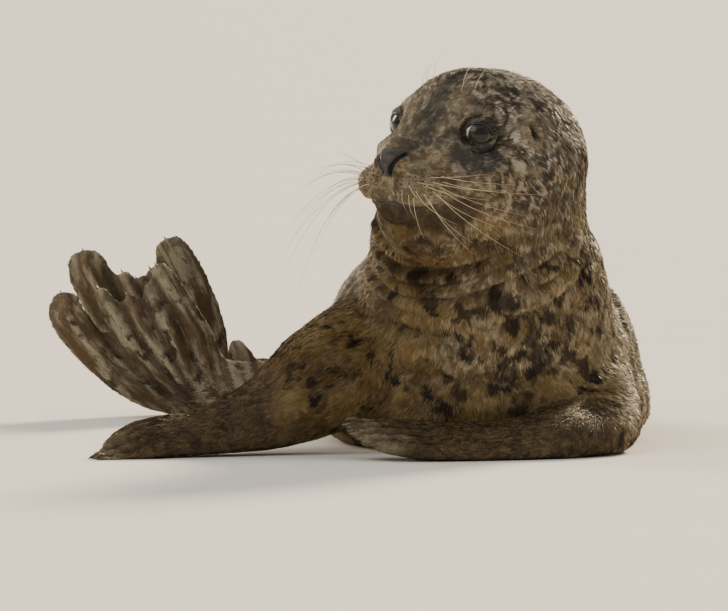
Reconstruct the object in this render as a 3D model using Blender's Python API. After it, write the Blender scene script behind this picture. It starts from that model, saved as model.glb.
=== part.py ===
"""A life-size harbor seal at rest on its belly, its chest raised, its head turned and its hind flippers lifted.

Metres, +Z up. The chest faces -Y, the seal's left is at +X, and the trunk curls round behind the chest so
that the hips and the hind flippers come out at -X. The body is made whole, from lofts along its spine and
limbs and from rounded masses on the head, melted into one skin. Thin cuts then part it where its parts are
named.
"""

import math

import bmesh
import bpy
import numpy as np
from mathutils import Matrix, Vector

MM = 0.001
BODY_VOXEL = 4 * MM
LIMB_VOXEL = 3.2 * MM
CUT_GAP = 0.3 * MM
EYE_GAP = 0.35 * MM
FLOOR_SOFTNESS = 9 * MM
FLOOR_SHAVE = 3.5 * MM
BODY_TRIANGLES = 5100
RING_SIDES = 28
RINGS_PER_SPAN = 5

# The spine from the nape to the rump: name, centre, half-width, half-depth.
SPINE = (
    ("nape", (0.053, 0.078, 0.302), 0.098, 0.096),
    ("neck", (0.041, 0.090, 0.240), 0.114, 0.107),
    ("shoulder", (0.042, 0.114, 0.180), 0.130, 0.122),
    ("chest", (0.034, 0.165, 0.116), 0.158, 0.138),
    ("ribs", (0.039, 0.262, 0.090), 0.170, 0.134),
    ("back", (0.042, 0.375, 0.090), 0.158, 0.128),
    ("loin", (0.042, 0.488, 0.084), 0.146, 0.117),
    ("waist", (0.030, 0.592, 0.074), 0.128, 0.105),
    ("flank", (-0.018, 0.674, 0.062), 0.105, 0.086),
    ("hips", (-0.090, 0.716, 0.052), 0.080, 0.064),
    ("rump", (-0.138, 0.722, 0.045), 0.062, 0.050),
    ("tail_root", (-0.156, 0.722, 0.042), 0.050, 0.040),
)
# The mass that eases the back of the neck into the trunk: centre, radii.
WITHERS = ((0.040, 0.190, 0.166), (0.128, 0.096, 0.088))
# How far the flanks spread where they bear on the floor, and the height below which they do.
SAG = 48 * MM
SAG_HEIGHT = 100 * MM

# The head's frame: its origin at the nose tip, then forward, left and up in millimetres.
NOSE_TIP = Vector((-0.062, -0.070, 0.313))
HEAD_YAW = math.radians(232)
HEAD_PITCH = math.radians(2)
HEAD_ROLL = math.radians(-6)
# Rounded masses of the head: name, centre, radii. A mass off the midline is mirrored.
HEAD_MASSES = (
    ("braincase", (-128, 0, 18), (78, 74, 72)),
    ("occiput", (-164, 0, 8), (86, 86, 88)),
    ("crown", (-146, 0, 22), (80, 78, 75)),
    ("forehead", (-94, 0, 20), (52, 50, 46)),
    ("bridge", (-54, 0, 0), (46, 36, 27)),
    ("snout", (-36, 0, -18), (32, 36, 28)),
    ("whisker_pad", (-37, 24, -29), (33, 28, 24)),
    ("brow", (-95, 40, 34), (32, 24, 20)),
    ("under_eye", (-74, 32, 2), (36, 27, 30)),
    ("cheek", (-106, 34, -18), (58, 43, 50)),
    ("jaw", (-86, 0, -42), (68, 48, 36)),
    ("chin", (-40, 0, -50), (32, 28, 17)),
    ("throat", (-92, 0, -64), (58, 60, 42)),
)
NOSE = ((-10, 0, -4), (11, 17, 13))
EYE_CENTRE = (-90, 47, 31)
EYE_RADIUS = 17
# The opening of the lids: the way it faces, how far out its middle is, its radii in, across and up.
EYE_FACING = (0.60, 0.77, 0.20)
LIDS_OUT = 22
LIDS = (9, 17, 11.5)
EYE_SIDES = 20

# Fore flippers from the shoulder to the knuckles: centre, half-width across the blade, half-thickness.
RIGHT_ARM = (
    ((-0.050, 0.130, 0.118), 0.072, 0.066),
    ((-0.120, 0.080, 0.080), 0.066, 0.056),
    ((-0.185, 0.045, 0.042), 0.050, 0.038),
    ((-0.245, 0.018, 0.025), 0.044, 0.025),
    ((-0.295, -0.002, 0.020), 0.045, 0.020),
    ((-0.318, -0.015, 0.014), 0.042, 0.016),
    ((-0.334, -0.025, 0.008), 0.034, 0.010),
)
LEFT_ARM = (
    ((0.140, 0.150, 0.060), 0.062, 0.056),
    ((0.158, 0.070, 0.032), 0.048, 0.040),
    ((0.122, 0.002, 0.022), 0.045, 0.030),
    ((0.058, -0.038, 0.017), 0.043, 0.021),
    ((-0.010, -0.060, 0.019), 0.042, 0.015),
    ((-0.050, -0.064, 0.026), 0.038, 0.011),
    ((-0.078, -0.062, 0.030), 0.031, 0.008),
)
RIGHT_BLADE_UP = (0, -0.34, 0.94)
LEFT_BLADE_UP = (0, -0.45, 0.89)
# Fore digits, thumb side first: root, knuckle and tip, with a half-width and a half-thickness for all of them.
RIGHT_FINGERS = (
    ((-0.292, -0.037, 0.006), (-0.325, -0.050, -0.001), (-0.351, -0.061, -0.005)),
    ((-0.297, -0.023, 0.012), (-0.330, -0.036, 0.003), (-0.356, -0.045, -0.003)),
    ((-0.297, -0.008, 0.018), (-0.329, -0.020, 0.009), (-0.351, -0.027, 0.001)),
    ((-0.292, 0.006, 0.022), (-0.322, -0.003, 0.013), (-0.341, -0.008, 0.004)),
    ((-0.283, 0.020, 0.024), (-0.309, 0.014, 0.017), (-0.325, 0.010, 0.008)),
)
LEFT_FINGERS = (
    ((-0.020, -0.038, 0.028), (-0.062, -0.040, 0.036), (-0.092, -0.043, 0.041)),
    ((-0.020, -0.050, 0.023), (-0.064, -0.051, 0.031), (-0.096, -0.054, 0.036)),
    ((-0.020, -0.062, 0.017), (-0.062, -0.063, 0.024), (-0.091, -0.065, 0.030)),
    ((-0.015, -0.074, 0.012), (-0.055, -0.075, 0.018), (-0.081, -0.076, 0.023)),
    ((-0.005, -0.085, 0.006), (-0.042, -0.087, 0.011), (-0.066, -0.087, 0.016)),
)
FINGER_SIZE = (9.5 * MM, 7 * MM)

# Hind flippers stand in upright planes at these depths, sole to sole. Rows are x, z, half-width and
# half-thickness in millimetres, from the ankle out to the tip.
RIGHT_FOOT_Y = 0.686
LEFT_FOOT_Y = 0.758
RIGHT_FOOT = {
    "palm": ((-181, 40, 28, 18), (-216, 38, 30, 14), (-249, 36, 38, 13), (-275, 39, 46, 12), (-297, 56, 50, 9),
             (-318, 84, 47, 6), (-334, 112, 42, 4)),
    "toe_1": ((-273, 20, 17, 13), (-312, 24, 19, 12), (-354, 50, 21, 11), (-391, 86, 23, 10), (-415, 116, 23, 9),
              (-418, 136, 19, 7)),
    "toe_2": ((-278, 22, 12, 11), (-311, 48, 12, 11), (-337, 77, 12, 10), (-358, 110, 12, 9), (-377, 142, 11, 7)),
    "toe_3": ((-276, 28, 12, 11), (-299, 58, 12, 11), (-318, 86, 12, 10), (-334, 112, 12, 9), (-345, 134, 10, 7)),
    "toe_4": ((-273, 38, 12, 11), (-286, 68, 12, 11), (-299, 100, 12, 10), (-313, 126, 12, 9), (-323, 146, 10, 7)),
    "toe_5": ((-253, 29, 18, 13), (-258, 63, 19, 12), (-268, 94, 18, 10), (-287, 126, 18, 9), (-305, 156, 16, 8),
              (-312, 168, 13, 7)),
}
LEFT_FOOT = {
    "palm": ((-181, 40, 28, 18), (-216, 38, 30, 14), (-249, 36, 38, 13), (-273, 43, 46, 12), (-291, 65, 50, 9),
             (-305, 98, 49, 6), (-318, 128, 46, 4)),
    "toe_1": ((-273, 22, 18, 13), (-318, 46, 20, 12), (-354, 92, 23, 11), (-381, 137, 26, 9), (-395, 168, 26, 8),
              (-397, 180, 22, 7)),
    "toe_2": ((-293, 63, 12, 11), (-321, 104, 12, 10), (-341, 135, 11, 8), (-352, 157, 10, 7)),
    "toe_3": ((-280, 63, 12, 11), (-303, 106, 12, 10), (-324, 135, 11, 8), (-335, 150, 10, 7)),
    "toe_4": ((-273, 66, 12, 11), (-293, 111, 12, 10), (-310, 142, 11, 8), (-321, 161, 10, 7)),
    "toe_5": ((-251, 32, 18, 13), (-254, 70, 20, 12), (-264, 108, 24, 10), (-280, 147, 25, 9), (-296, 180, 24, 8),
              (-304, 194, 20, 7)),
}
TAIL = (
    ((-0.168, 0.722, 0.044), 0.028, 0.014),
    ((-0.203, 0.722, 0.048), 0.019, 0.009),
    ((-0.218, 0.722, 0.063), 0.016, 0.008),
    ((-0.226, 0.722, 0.080), 0.013, 0.007),
)

# Claws: base radius, length and how much of it is sunk in the digit.
FORE_CLAW = (2.6 * MM, 15 * MM, 7 * MM)
HIND_CLAW = (2.2 * MM, 11 * MM, 6 * MM)
CLAW_SIDES = 6

# Thin cuts that part the body: centre, the way the cut faces, radius.
CUTS = {
    "under_the_head": ((0.040, 0.070, 0.236), (0.02, -0.42, 0.91), 0.190),
    "over_the_chest": ((0.042, 0.110, 0.176), (0.04, -0.54, 0.84), 0.205),
    "behind_the_chest": ((0.045, 0.320, 0.090), (-0.1, 1, 0), 0.25),
    "before_the_hips": ((0.010, 0.600, 0.080), (-0.66, 0.75, 0), 0.185),
    "behind_the_hips": ((-0.207, 0.722, 0.045), (-1, 0, 0), 0.085),
    "right_forearm": ((-0.165, 0.054, 0.057), (-0.82, -0.42, -0.38), 0.078),
    "left_forearm": ((0.105, -0.010, 0.026), (-0.84, -0.54, -0.05), 0.060),
}
# Where the middle of each part lies, and its coat: colour and roughness.
PARTS = {
    "head": ((0.031, 0.050, 0.300), (0.135, 0.115, 0.085), 0.75),
    "neck": ((0.041, 0.106, 0.200), (0.085, 0.060, 0.030), 0.78),
    "chest": ((0.016, 0.127, 0.126), (0.110, 0.078, 0.036), 0.78),
    "belly": ((0.040, 0.480, 0.110), (0.105, 0.080, 0.045), 0.78),
    "hips": ((-0.070, 0.670, 0.080), (0.095, 0.075, 0.045), 0.78),
    "tail": ((-0.220, 0.722, 0.060), (0.120, 0.100, 0.060), 0.78),
    "right_fore_flipper": ((-0.256, 0.016, 0.053), (0.055, 0.040, 0.018), 0.80),
    "left_fore_flipper": ((0.013, -0.037, 0.032), (0.065, 0.045, 0.020), 0.80),
    "right_hind_flipper": ((-0.312, 0.686, 0.092), (0.115, 0.090, 0.050), 0.80),
    "left_hind_flipper": ((-0.312, 0.758, 0.104), (0.115, 0.095, 0.065), 0.80),
}
EYES = {"left_eye": 1, "right_eye": -1}
EYE_COLOUR = (0.012, 0.010, 0.009)
EYE_ROUGHNESS = 0.08
SHARP_ANGLE = math.radians(50)


def unit(vector):
    return vector / np.linalg.norm(vector)


def smooth_rows(rows, per_span):
    """Rows of numbers with more rows between them, on a Catmull-Rom curve."""
    rows = np.array(rows, float)
    padded = np.vstack([2 * rows[0] - rows[1], rows, 2 * rows[-1] - rows[-2]])
    dense = []
    for i in range(len(rows) - 1):
        a, b, c, d = padded[i : i + 4]
        for k in range(per_span):
            t = k / per_span
            square = (2 * a - 5 * b + 4 * c - d) * t**2
            cube = (3 * b - a - 3 * c + d) * t**3
            dense.append(0.5 * (2 * b + (c - a) * t + square + cube))
    dense.append(rows[-1])
    return np.array(dense)


def mesh_object(name, bm):
    bmesh.ops.recalc_face_normals(bm, faces=bm.faces)
    mesh = bpy.data.meshes.new(name)
    bm.to_mesh(mesh)
    bm.free()
    obj = bpy.data.objects.new(name, mesh)
    bpy.context.scene.collection.objects.link(obj)
    return obj


def loft(name, rows, up_of, caps=(1.0, 1.0)):
    """A closed tube through rows of x, y, z, half-width, half-depth. up_of(tangent) is the way of its depth."""
    dense = smooth_rows(rows, RINGS_PER_SPAN)
    centres, sizes = dense[:, :3], np.maximum(dense[:, 3:5], MM)
    tangents = np.gradient(centres, axis=0)
    bm = bmesh.new()
    rings = []
    for i, (centre, size) in enumerate(zip(centres, sizes)):
        tangent, up, side = ring_frame(tangents[i], up_of)
        ring = []
        for k in range(RING_SIDES):
            angle = 2 * math.pi * k / RING_SIDES
            out = side * size[0] * math.cos(angle) + up * size[1] * math.sin(angle)
            ring.append(bm.verts.new(centre + out))
        rings.append(ring)
    for first, second in zip(rings, rings[1:]):
        for k in range(RING_SIDES):
            after = (k + 1) % RING_SIDES
            bm.faces.new((first[k], first[after], second[after], second[k]))
    bm.faces.new(rings[0])
    bm.faces.new(rings[-1])
    # Round both ends with a half ball of the end ring's size.
    for i, cap in zip((0, -1), caps):
        tangent, up, side = ring_frame(tangents[i], up_of)
        place = Matrix.Translation(centres[i]) @ Matrix((side, tangent, up)).transposed().to_4x4()
        add_ball(bm, place, (sizes[i][0], cap * min(sizes[i][0], 1.6 * sizes[i][1]), sizes[i][1]))
    return mesh_object(name, bm)


def ring_frame(along, up_of):
    tangent = unit(along)
    up = np.array(up_of(tangent), float)
    up = unit(up - tangent * (up @ tangent))
    return tangent, up, np.cross(tangent, up)


def add_ball(bm, place, radii, sides=RING_SIDES):
    size = Matrix.Diagonal((*radii, 1.0))
    bmesh.ops.create_uvsphere(bm, u_segments=sides, v_segments=sides * 3 // 5, radius=1.0, matrix=place @ size)


def spine_up(tangent):
    """The way the seal's back faces: +Y on the upright neck, and upwards on the lying trunk."""
    upright = abs(tangent[2])
    return (0, upright, 1 - upright)


def flat_rows(rows):
    return [(*centre, width, depth) for centre, width, depth in rows]


def trunk():
    whole = loft("trunk", flat_rows(row[1:] for row in SPINE), spine_up, (1.0, 0.5))
    for vertex in whole.data.vertices:
        share = min(max((SAG_HEIGHT - vertex.co.z) / SAG_HEIGHT, 0), 1)
        outward = Vector((vertex.normal.x, vertex.normal.y, 0))
        vertex.co += outward * SAG * share * share * (3 - 2 * share)
    return whole


def withers():
    bm = bmesh.new()
    centre, radii = WITHERS
    add_ball(bm, Matrix.Translation(centre), radii)
    return mesh_object("withers", bm)


def head_matrix():
    yaw = Matrix.Rotation(HEAD_YAW, 4, "Z")
    pitch = Matrix.Rotation(-HEAD_PITCH, 4, "Y")
    roll = Matrix.Rotation(HEAD_ROLL, 4, "X")
    return Matrix.Translation(NOSE_TIP) @ yaw @ pitch @ roll @ Matrix.Scale(MM, 4)


def head_balls(name, balls):
    """Balls placed in the head's frame, each on both sides unless it lies on the midline."""
    bm = bmesh.new()
    for centre, radii in balls:
        for side in (1, -1) if centre[1] else (1,):
            place = head_matrix() @ Matrix.Translation((centre[0], side * centre[1], centre[2]))
            add_ball(bm, place, radii)
    return mesh_object(name, bm)


def arm(name, rows, blade_up):
    return loft(name, flat_rows(rows), lambda tangent: blade_up)


def fingers(name, roots_to_tips, blade_up):
    width, depth = FINGER_SIZE
    made = []
    for i, points in enumerate(roots_to_tips):
        rows = [(*point, width * (1 - 0.12 * k), depth * (1 - 0.14 * k)) for k, point in enumerate(points)]
        made.append(loft(f"{name}_{i + 1}", rows, lambda tangent: blade_up))
    return made


def foot(name, toes, depth_y):
    made = []
    for toe, rows in toes.items():
        metres = [(x * MM, depth_y, z * MM, width * MM, depth * MM) for x, z, width, depth in rows]
        made.append(loft(f"{name}_{toe}", metres, lambda tangent: (0, 1, 0)))
    return made


def fused(name, objects, voxel, smoothing):
    """The objects melted into one skin, with its creases eased by the smoothing passes."""
    bm = bmesh.new()
    for obj in objects:
        bm.from_mesh(obj.data)
        bpy.data.objects.remove(obj)
    whole = mesh_object(name, bm)
    remesh = whole.modifiers.new("melt", "REMESH")
    remesh.mode = "VOXEL"
    remesh.voxel_size = voxel
    smooth = whole.modifiers.new("ease", "SMOOTH")
    smooth.factor = 0.5
    smooth.iterations = smoothing
    applied(whole)
    return whole


def applied(obj):
    """Replaces the object's mesh with what its modifiers make."""
    bpy.context.view_layer.update()
    graph = bpy.context.evaluated_depsgraph_get()
    mesh = bpy.data.meshes.new_from_object(obj.evaluated_get(graph))
    obj.modifiers.clear()
    obj.data = mesh


def pressed(height):
    """Where flesh at this height lies once the floor has pressed on it: flat below, unchanged well above."""
    return FLOOR_SOFTNESS * math.log1p(math.exp(height / FLOOR_SOFTNESS))


def settle(obj):
    for vertex in obj.data.vertices:
        vertex.co.z = pressed(vertex.co.z)


def thinned(obj, triangles):
    faces = sum(len(polygon.vertices) - 2 for polygon in obj.data.polygons)
    decimate = obj.modifiers.new("thin", "DECIMATE")
    decimate.ratio = triangles / faces
    applied(obj)


def combined(obj, other, operation):
    boolean = obj.modifiers.new(operation.lower(), "BOOLEAN")
    boolean.operation = operation
    boolean.solver = "EXACT"
    boolean.object = other
    applied(obj)
    bpy.data.objects.remove(other)


def floor_cutter():
    bm = bmesh.new()
    block = Matrix.Translation((0, 0.3, FLOOR_SHAVE - 0.25)) @ Matrix.Diagonal((2, 2, 0.5, 1))
    bmesh.ops.create_cube(bm, size=1.0, matrix=block)
    return mesh_object("floor_cutter", bm)


def thin_cutter(centre, facing, radius):
    turn = Vector(facing).to_track_quat("Z", "Y").to_matrix().to_4x4()
    place = Matrix.Translation(centre) @ turn
    bm = bmesh.new()
    bmesh.ops.create_cone(
        bm, cap_ends=True, segments=40, radius1=radius, radius2=radius, depth=CUT_GAP, matrix=place
    )
    return mesh_object("thin_cutter", bm)


def loose_parts(obj):
    """The separate closed shells of the object, each as an object of its own."""
    bm = bmesh.new()
    bm.from_mesh(obj.data)
    bpy.data.objects.remove(obj)
    unseen = set(bm.faces)
    shells = []
    while unseen:
        shell, front = set(), [next(iter(unseen))]
        while front:
            face = front.pop()
            if face in unseen:
                unseen.remove(face)
                shell.add(face.index)
                front.extend(other for edge in face.edges for other in edge.link_faces if other in unseen)
        shells.append(shell)
    made = []
    for shell in shells:
        piece = bm.copy()
        piece.faces.ensure_lookup_table()
        others = [face for face in piece.faces if face.index not in shell]
        bmesh.ops.delete(piece, geom=others, context="FACES")
        made.append(mesh_object("shell", piece))
    bm.free()
    return made


def claws(name, digits, size, above):
    """Curved, pointed claws along the last stretch of the digits, lifted towards the back of the flipper."""
    radius, length, sunk = size
    above = Vector(above).normalized()
    bm = bmesh.new()
    for knuckle, tip, reach in digits:
        along = (Vector(tip) - Vector(knuckle)).normalized()
        side = along.cross(above).normalized()
        up = side.cross(along)
        base = Vector(tip) + along * (reach - sunk) + up * radius * 1.25
        rings = []
        for share, thickness in ((0, 1.0), (0.35, 0.95), (0.7, 0.62)):
            middle = base + along * length * share - up * radius * share**2
            ring = []
            for k in range(CLAW_SIDES):
                angle = 2 * math.pi * k / CLAW_SIDES
                out = side * math.cos(angle) * 0.75 + up * math.sin(angle)
                ring.append(bm.verts.new(middle + out * radius * thickness))
            rings.append(ring)
        point = bm.verts.new(base + along * length - up * radius)
        bm.faces.new(rings[0])
        for first, second in zip(rings, rings[1:]):
            for k in range(CLAW_SIDES):
                after = (k + 1) % CLAW_SIDES
                bm.faces.new((first[k], first[after], second[after], second[k]))
        for k in range(CLAW_SIDES):
            bm.faces.new((rings[-1][k], rings[-1][(k + 1) % CLAW_SIDES], point))
    return mesh_object(name, bm)


def finger_ends(fingers_of):
    on_floor = [[(x, y, pressed(z)) for x, y, z in points] for points in fingers_of]
    return [(points[1], points[2], FINGER_SIZE[0] * 0.6) for points in on_floor]


def toe_ends(toes, depth_y):
    ends = []
    for toe, rows in toes.items():
        if toe != "palm":
            (x0, z0, *_), (x1, z1, width, depth) = rows[-3], rows[-1]
            reach = 0.6 * min(width, 1.6 * depth) * MM
            ends.append(((x0 * MM, depth_y, z0 * MM), (x1 * MM, depth_y, z1 * MM), reach))
    return ends


def eye_frame(side):
    """A frame at the eye's centre: its first axis faces out through the lids."""
    out = Vector((EYE_FACING[0], side * EYE_FACING[1], EYE_FACING[2])).normalized()
    across = Vector((0, 0, 1)).cross(out).normalized()
    turn = Matrix((out, across, out.cross(across))).transposed().to_4x4()
    return head_matrix() @ Matrix.Translation((EYE_CENTRE[0], side * EYE_CENTRE[1], EYE_CENTRE[2])) @ turn


def ball(name, place, radii):
    bm = bmesh.new()
    add_ball(bm, place, radii, EYE_SIDES)
    return mesh_object(name, bm)


def paint(obj, colour, roughness):
    material = bpy.data.materials.new(f"{obj.name}_surface")
    material.use_nodes = True
    shader = material.node_tree.nodes["Principled BSDF"]
    shader.inputs["Base Color"].default_value = (*colour, 1)
    shader.inputs["Roughness"].default_value = roughness
    shader.inputs["Metallic"].default_value = 0
    obj.data.materials.clear()
    obj.data.materials.append(material)
    obj.data.polygons.foreach_set("use_smooth", [True] * len(obj.data.polygons))
    obj.data.set_sharp_from_angle(angle=SHARP_ANGLE)


def box_corners(objects):
    places = np.array([tuple(vertex.co) for obj in objects for vertex in obj.data.vertices])
    return places.min(axis=0), places.max(axis=0)


def nearest_shell(shells, middle):
    return min(shells, key=lambda shell: np.linalg.norm(sum(box_corners([shell])) / 2 - np.array(middle)))


def clear_scene():
    for obj in list(bpy.data.objects):
        bpy.data.objects.remove(obj)


clear_scene()
torso = fused(
    "torso",
    [
        trunk(),
        withers(),
        head_balls("head", (row[1:] for row in HEAD_MASSES)),
        arm("right_arm", RIGHT_ARM, RIGHT_BLADE_UP),
        arm("left_arm", LEFT_ARM, LEFT_BLADE_UP),
    ],
    BODY_VOXEL,
    20,
)
limbs = fingers("right_finger", RIGHT_FINGERS, RIGHT_BLADE_UP)
limbs += fingers("left_finger", LEFT_FINGERS, LEFT_BLADE_UP)
limbs += foot("right_foot", RIGHT_FOOT, RIGHT_FOOT_Y) + foot("left_foot", LEFT_FOOT, LEFT_FOOT_Y)
limbs += [arm("tail", TAIL, (0, 1, 0)), head_balls("nose", (NOSE,))]
body = fused("body", [torso, *limbs], LIMB_VOXEL, 4)
settle(body)
thinned(body, BODY_TRIANGLES)
combined(body, floor_cutter(), "DIFFERENCE")
for cut in CUTS.values():
    combined(body, thin_cutter(*cut), "DIFFERENCE")
shells = loose_parts(body)
parts = {}
for name, (middle, colour, roughness) in PARTS.items():
    parts[name] = nearest_shell(shells, middle)
    parts[name].name = name

for name, side in EYES.items():
    place = eye_frame(side)
    opening = ball("lids", place @ Matrix.Translation((LIDS_OUT, 0, 0)), LIDS)
    socket = ball("socket", place, (EYE_RADIUS + EYE_GAP / MM,) * 3)
    combined(parts["head"], opening, "DIFFERENCE")
    combined(parts["head"], socket, "DIFFERENCE")
    eye = ball(name, place, (EYE_RADIUS,) * 3)
    paint(eye, EYE_COLOUR, EYE_ROUGHNESS)

for name, ends, size, above in (
    ("right_fore_flipper", finger_ends(RIGHT_FINGERS), FORE_CLAW, RIGHT_BLADE_UP),
    ("left_fore_flipper", finger_ends(LEFT_FINGERS), FORE_CLAW, LEFT_BLADE_UP),
    ("right_hind_flipper", toe_ends(RIGHT_FOOT, RIGHT_FOOT_Y), HIND_CLAW, (0, -1, 0)),
    ("left_hind_flipper", toe_ends(LEFT_FOOT, LEFT_FOOT_Y), HIND_CLAW, (0, 1, 0)),
):
    combined(parts[name], claws("claws", ends, size, above), "UNION")

for name, (_, colour, roughness) in PARTS.items():
    paint(parts[name], colour, roughness)

# The origin goes under the middle of the whole animal, on the floor.
low, high = box_corners(bpy.data.objects)
SHIFT = Vector((-(low[0] + high[0]) / 2, -(low[1] + high[1]) / 2, -FLOOR_SHAVE))
for obj in bpy.data.objects:
    obj.data.transform(Matrix.Translation(SHIFT))
    obj.data.update()
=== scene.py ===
"""A life-size harbor seal at rest: one skin over the solids, its short coat, eyes, claws and whiskers."""

import math

import bpy
import numpy as np
from mathutils import Matrix, Vector
from mathutils.bvhtree import BVHTree


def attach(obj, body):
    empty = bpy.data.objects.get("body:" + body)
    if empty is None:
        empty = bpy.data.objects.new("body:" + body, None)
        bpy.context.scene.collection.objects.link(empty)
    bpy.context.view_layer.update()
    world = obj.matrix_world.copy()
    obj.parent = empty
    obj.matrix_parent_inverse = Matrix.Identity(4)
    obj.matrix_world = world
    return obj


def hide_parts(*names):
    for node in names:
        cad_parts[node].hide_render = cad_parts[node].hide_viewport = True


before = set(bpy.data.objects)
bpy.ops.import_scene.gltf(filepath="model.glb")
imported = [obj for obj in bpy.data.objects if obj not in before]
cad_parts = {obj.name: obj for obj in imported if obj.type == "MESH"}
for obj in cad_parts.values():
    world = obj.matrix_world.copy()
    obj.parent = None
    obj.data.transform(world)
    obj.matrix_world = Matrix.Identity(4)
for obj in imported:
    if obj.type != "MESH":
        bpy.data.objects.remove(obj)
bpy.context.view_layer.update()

# ------------------------------------------------------------------------------------------------ skin
# One hide over flesh and blubber, from the nose to the tail and out to every flipper, drawn over the solids
# as one grid. It lies a coat's depth inside them, folds at the throat, the chest and the flank, and is bare
# at the nose, the lids and the lips.

MM = 0.001
FLESH = (
    "head", "neck", "chest", "belly", "hips", "tail",
    "right_fore_flipper", "left_fore_flipper", "right_hind_flipper", "left_hind_flipper",
)
EYES = {"left_eye": 1, "right_eye": -1}
SKIN_GRID = 4.2 * MM
COAT_DEPTH = 1.5
SKIN_LOWEST = 0.3 * MM
# The digits in millimetres: root, knuckle and tip, thumb side first.
DIGITS = {
    "right_fore": (
        ((-184, -395, 6), (-217, -408, 2), (-243, -419, 1)),
        ((-189, -381, 11), (-222, -394, 4), (-248, -403, 1)),
        ((-189, -366, 16), (-221, -378, 8), (-243, -385, 3)),
        ((-184, -352, 19), (-214, -361, 11), (-233, -366, 5)),
        ((-175, -338, 21), (-201, -344, 15), (-217, -348, 8)),
    ),
    "left_fore": (
        ((88, -396, 25), (46, -398, 33), (16, -401, 38)),
        ((88, -408, 20), (44, -409, 28), (12, -412, 33)),
        ((88, -420, 15), (46, -421, 21), (17, -423, 27)),
        ((93, -432, 11), (53, -433, 16), (27, -434, 20)),
        ((103, -443, 6), (66, -445, 10), (42, -445, 14)),
    ),
    "right_hind": (
        (
            (-165, 328, 17), (-204, 328, 21), (-246, 328, 47),
            (-283, 328, 83), (-307, 328, 113), (-310, 328, 133),
        ),
        ((-170, 328, 19), (-203, 328, 45), (-229, 328, 74), (-250, 328, 107), (-269, 328, 139)),
        ((-168, 328, 25), (-191, 328, 55), (-210, 328, 83), (-226, 328, 109), (-237, 328, 131)),
        ((-165, 328, 35), (-178, 328, 65), (-191, 328, 97), (-205, 328, 123), (-215, 328, 143)),
        (
            (-145, 328, 26), (-150, 328, 60), (-160, 328, 91),
            (-179, 328, 123), (-197, 328, 153), (-204, 328, 165),
        ),
    ),
    "left_hind": (
        (
            (-165, 400, 19), (-210, 400, 43), (-246, 400, 89),
            (-273, 400, 134), (-287, 400, 165), (-289, 400, 177),
        ),
        ((-160, 400, 30), (-185, 400, 60), (-213, 400, 101), (-233, 400, 132), (-244, 400, 154)),
        ((-155, 400, 30), (-172, 400, 60), (-195, 400, 103), (-216, 400, 132), (-227, 400, 147)),
        ((-150, 400, 30), (-165, 400, 63), (-185, 400, 108), (-202, 400, 139), (-213, 400, 158)),
        (
            (-143, 400, 29), (-146, 400, 67), (-156, 400, 105),
            (-172, 400, 144), (-188, 400, 177), (-196, 400, 191),
        ),
    ),
}
# Each claw's radius, length, depth in the flesh and reach past the digit's tip, and the digit's point that
# it is aimed from.
FORE_CLAW = {"radius": 2.6, "length": 12.5, "sunk": 7.0, "reach": 5.7, "from": -2}
HIND_CLAW = {"radius": 2.3, "length": 11.5, "sunk": 6.0, "reach": 6.4, "from": -3}
CLAW_UP = {
    "right_fore": (0, -0.34, 0.94),
    "left_fore": (0, -0.45, 0.89),
    "right_hind": (0, -1, 0),
    "left_hind": (0, 1, 0),
}

# The head's own frame, in millimetres: forward from the nose tip, to its left, and up.
NOSE_TIP = Vector((0.0462, -0.4282, 0.3095))
HEAD = (
    Matrix.Translation(NOSE_TIP)
    @ Matrix.Rotation(math.radians(232), 4, "Z")
    @ Matrix.Rotation(math.radians(-2), 4, "Y")
    @ Matrix.Rotation(math.radians(-6), 4, "X")
    @ Matrix.Scale(MM, 4)
)
HEAD_AXES = np.array(HEAD.to_3x3())
HEAD_TURN = np.array(HEAD.to_3x3().normalized())
HEAD_CENTRE = np.array(HEAD @ Vector((-125, 0, 10)))
EYE_CENTRE = (-90, 47, 31)
LIDS_SPOT = (-80, 57, 31)
EAR_SPOT = (-142, 76, 44)
EYE_RADIUS = 17.0
EYE_SUNK = 2.0
# Each eye's opening: the way its middle faces, and its half-length and half-height on the ball. The seal
# looks to its left, which draws both openings a little that way.
LIDS_FACE = {"left_eye": (0.72, 0.68, 0.13), "right_eye": (0.955, -0.27, -0.03)}
LIDS_TILT = math.radians(8)
LIDS_LONG = 15.3
LIDS_TALL = 11.2

# The body's lines that the hair follows, from front to back: points in metres with the flesh's radius there.
SPINE = (
    ((0.161, -0.280, 0.299), 0.098),
    ((0.149, -0.268, 0.237), 0.112),
    ((0.150, -0.244, 0.177), 0.128),
    ((0.142, -0.193, 0.113), 0.150),
    ((0.147, -0.096, 0.087), 0.153),
    ((0.150, 0.017, 0.087), 0.144),
    ((0.150, 0.130, 0.081), 0.133),
    ((0.138, 0.234, 0.071), 0.116),
    ((0.090, 0.316, 0.059), 0.096),
    ((0.018, 0.358, 0.049), 0.072),
    ((-0.030, 0.364, 0.042), 0.056),
    ((-0.060, 0.364, 0.041), 0.042),
)
RIGHT_ARM = (
    ((0.058, -0.228, 0.115), 0.066),
    ((-0.012, -0.278, 0.077), 0.060),
    ((-0.077, -0.313, 0.040), 0.044),
    ((-0.137, -0.340, 0.022), 0.034),
    ((-0.187, -0.361, 0.016), 0.030),
    ((-0.226, -0.383, 0.008), 0.022),
)
LEFT_ARM = (
    ((0.248, -0.208, 0.058), 0.058),
    ((0.266, -0.288, 0.030), 0.044),
    ((0.230, -0.356, 0.019), 0.037),
    ((0.166, -0.396, 0.016), 0.030),
    ((0.098, -0.418, 0.018), 0.027),
    ((0.030, -0.420, 0.027), 0.020),
)
RIGHT_HEEL = (
    ((-0.049, 0.345, 0.036), 0.034),
    ((-0.108, 0.328, 0.033), 0.028),
    ((-0.167, 0.328, 0.034), 0.036),
)
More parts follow.
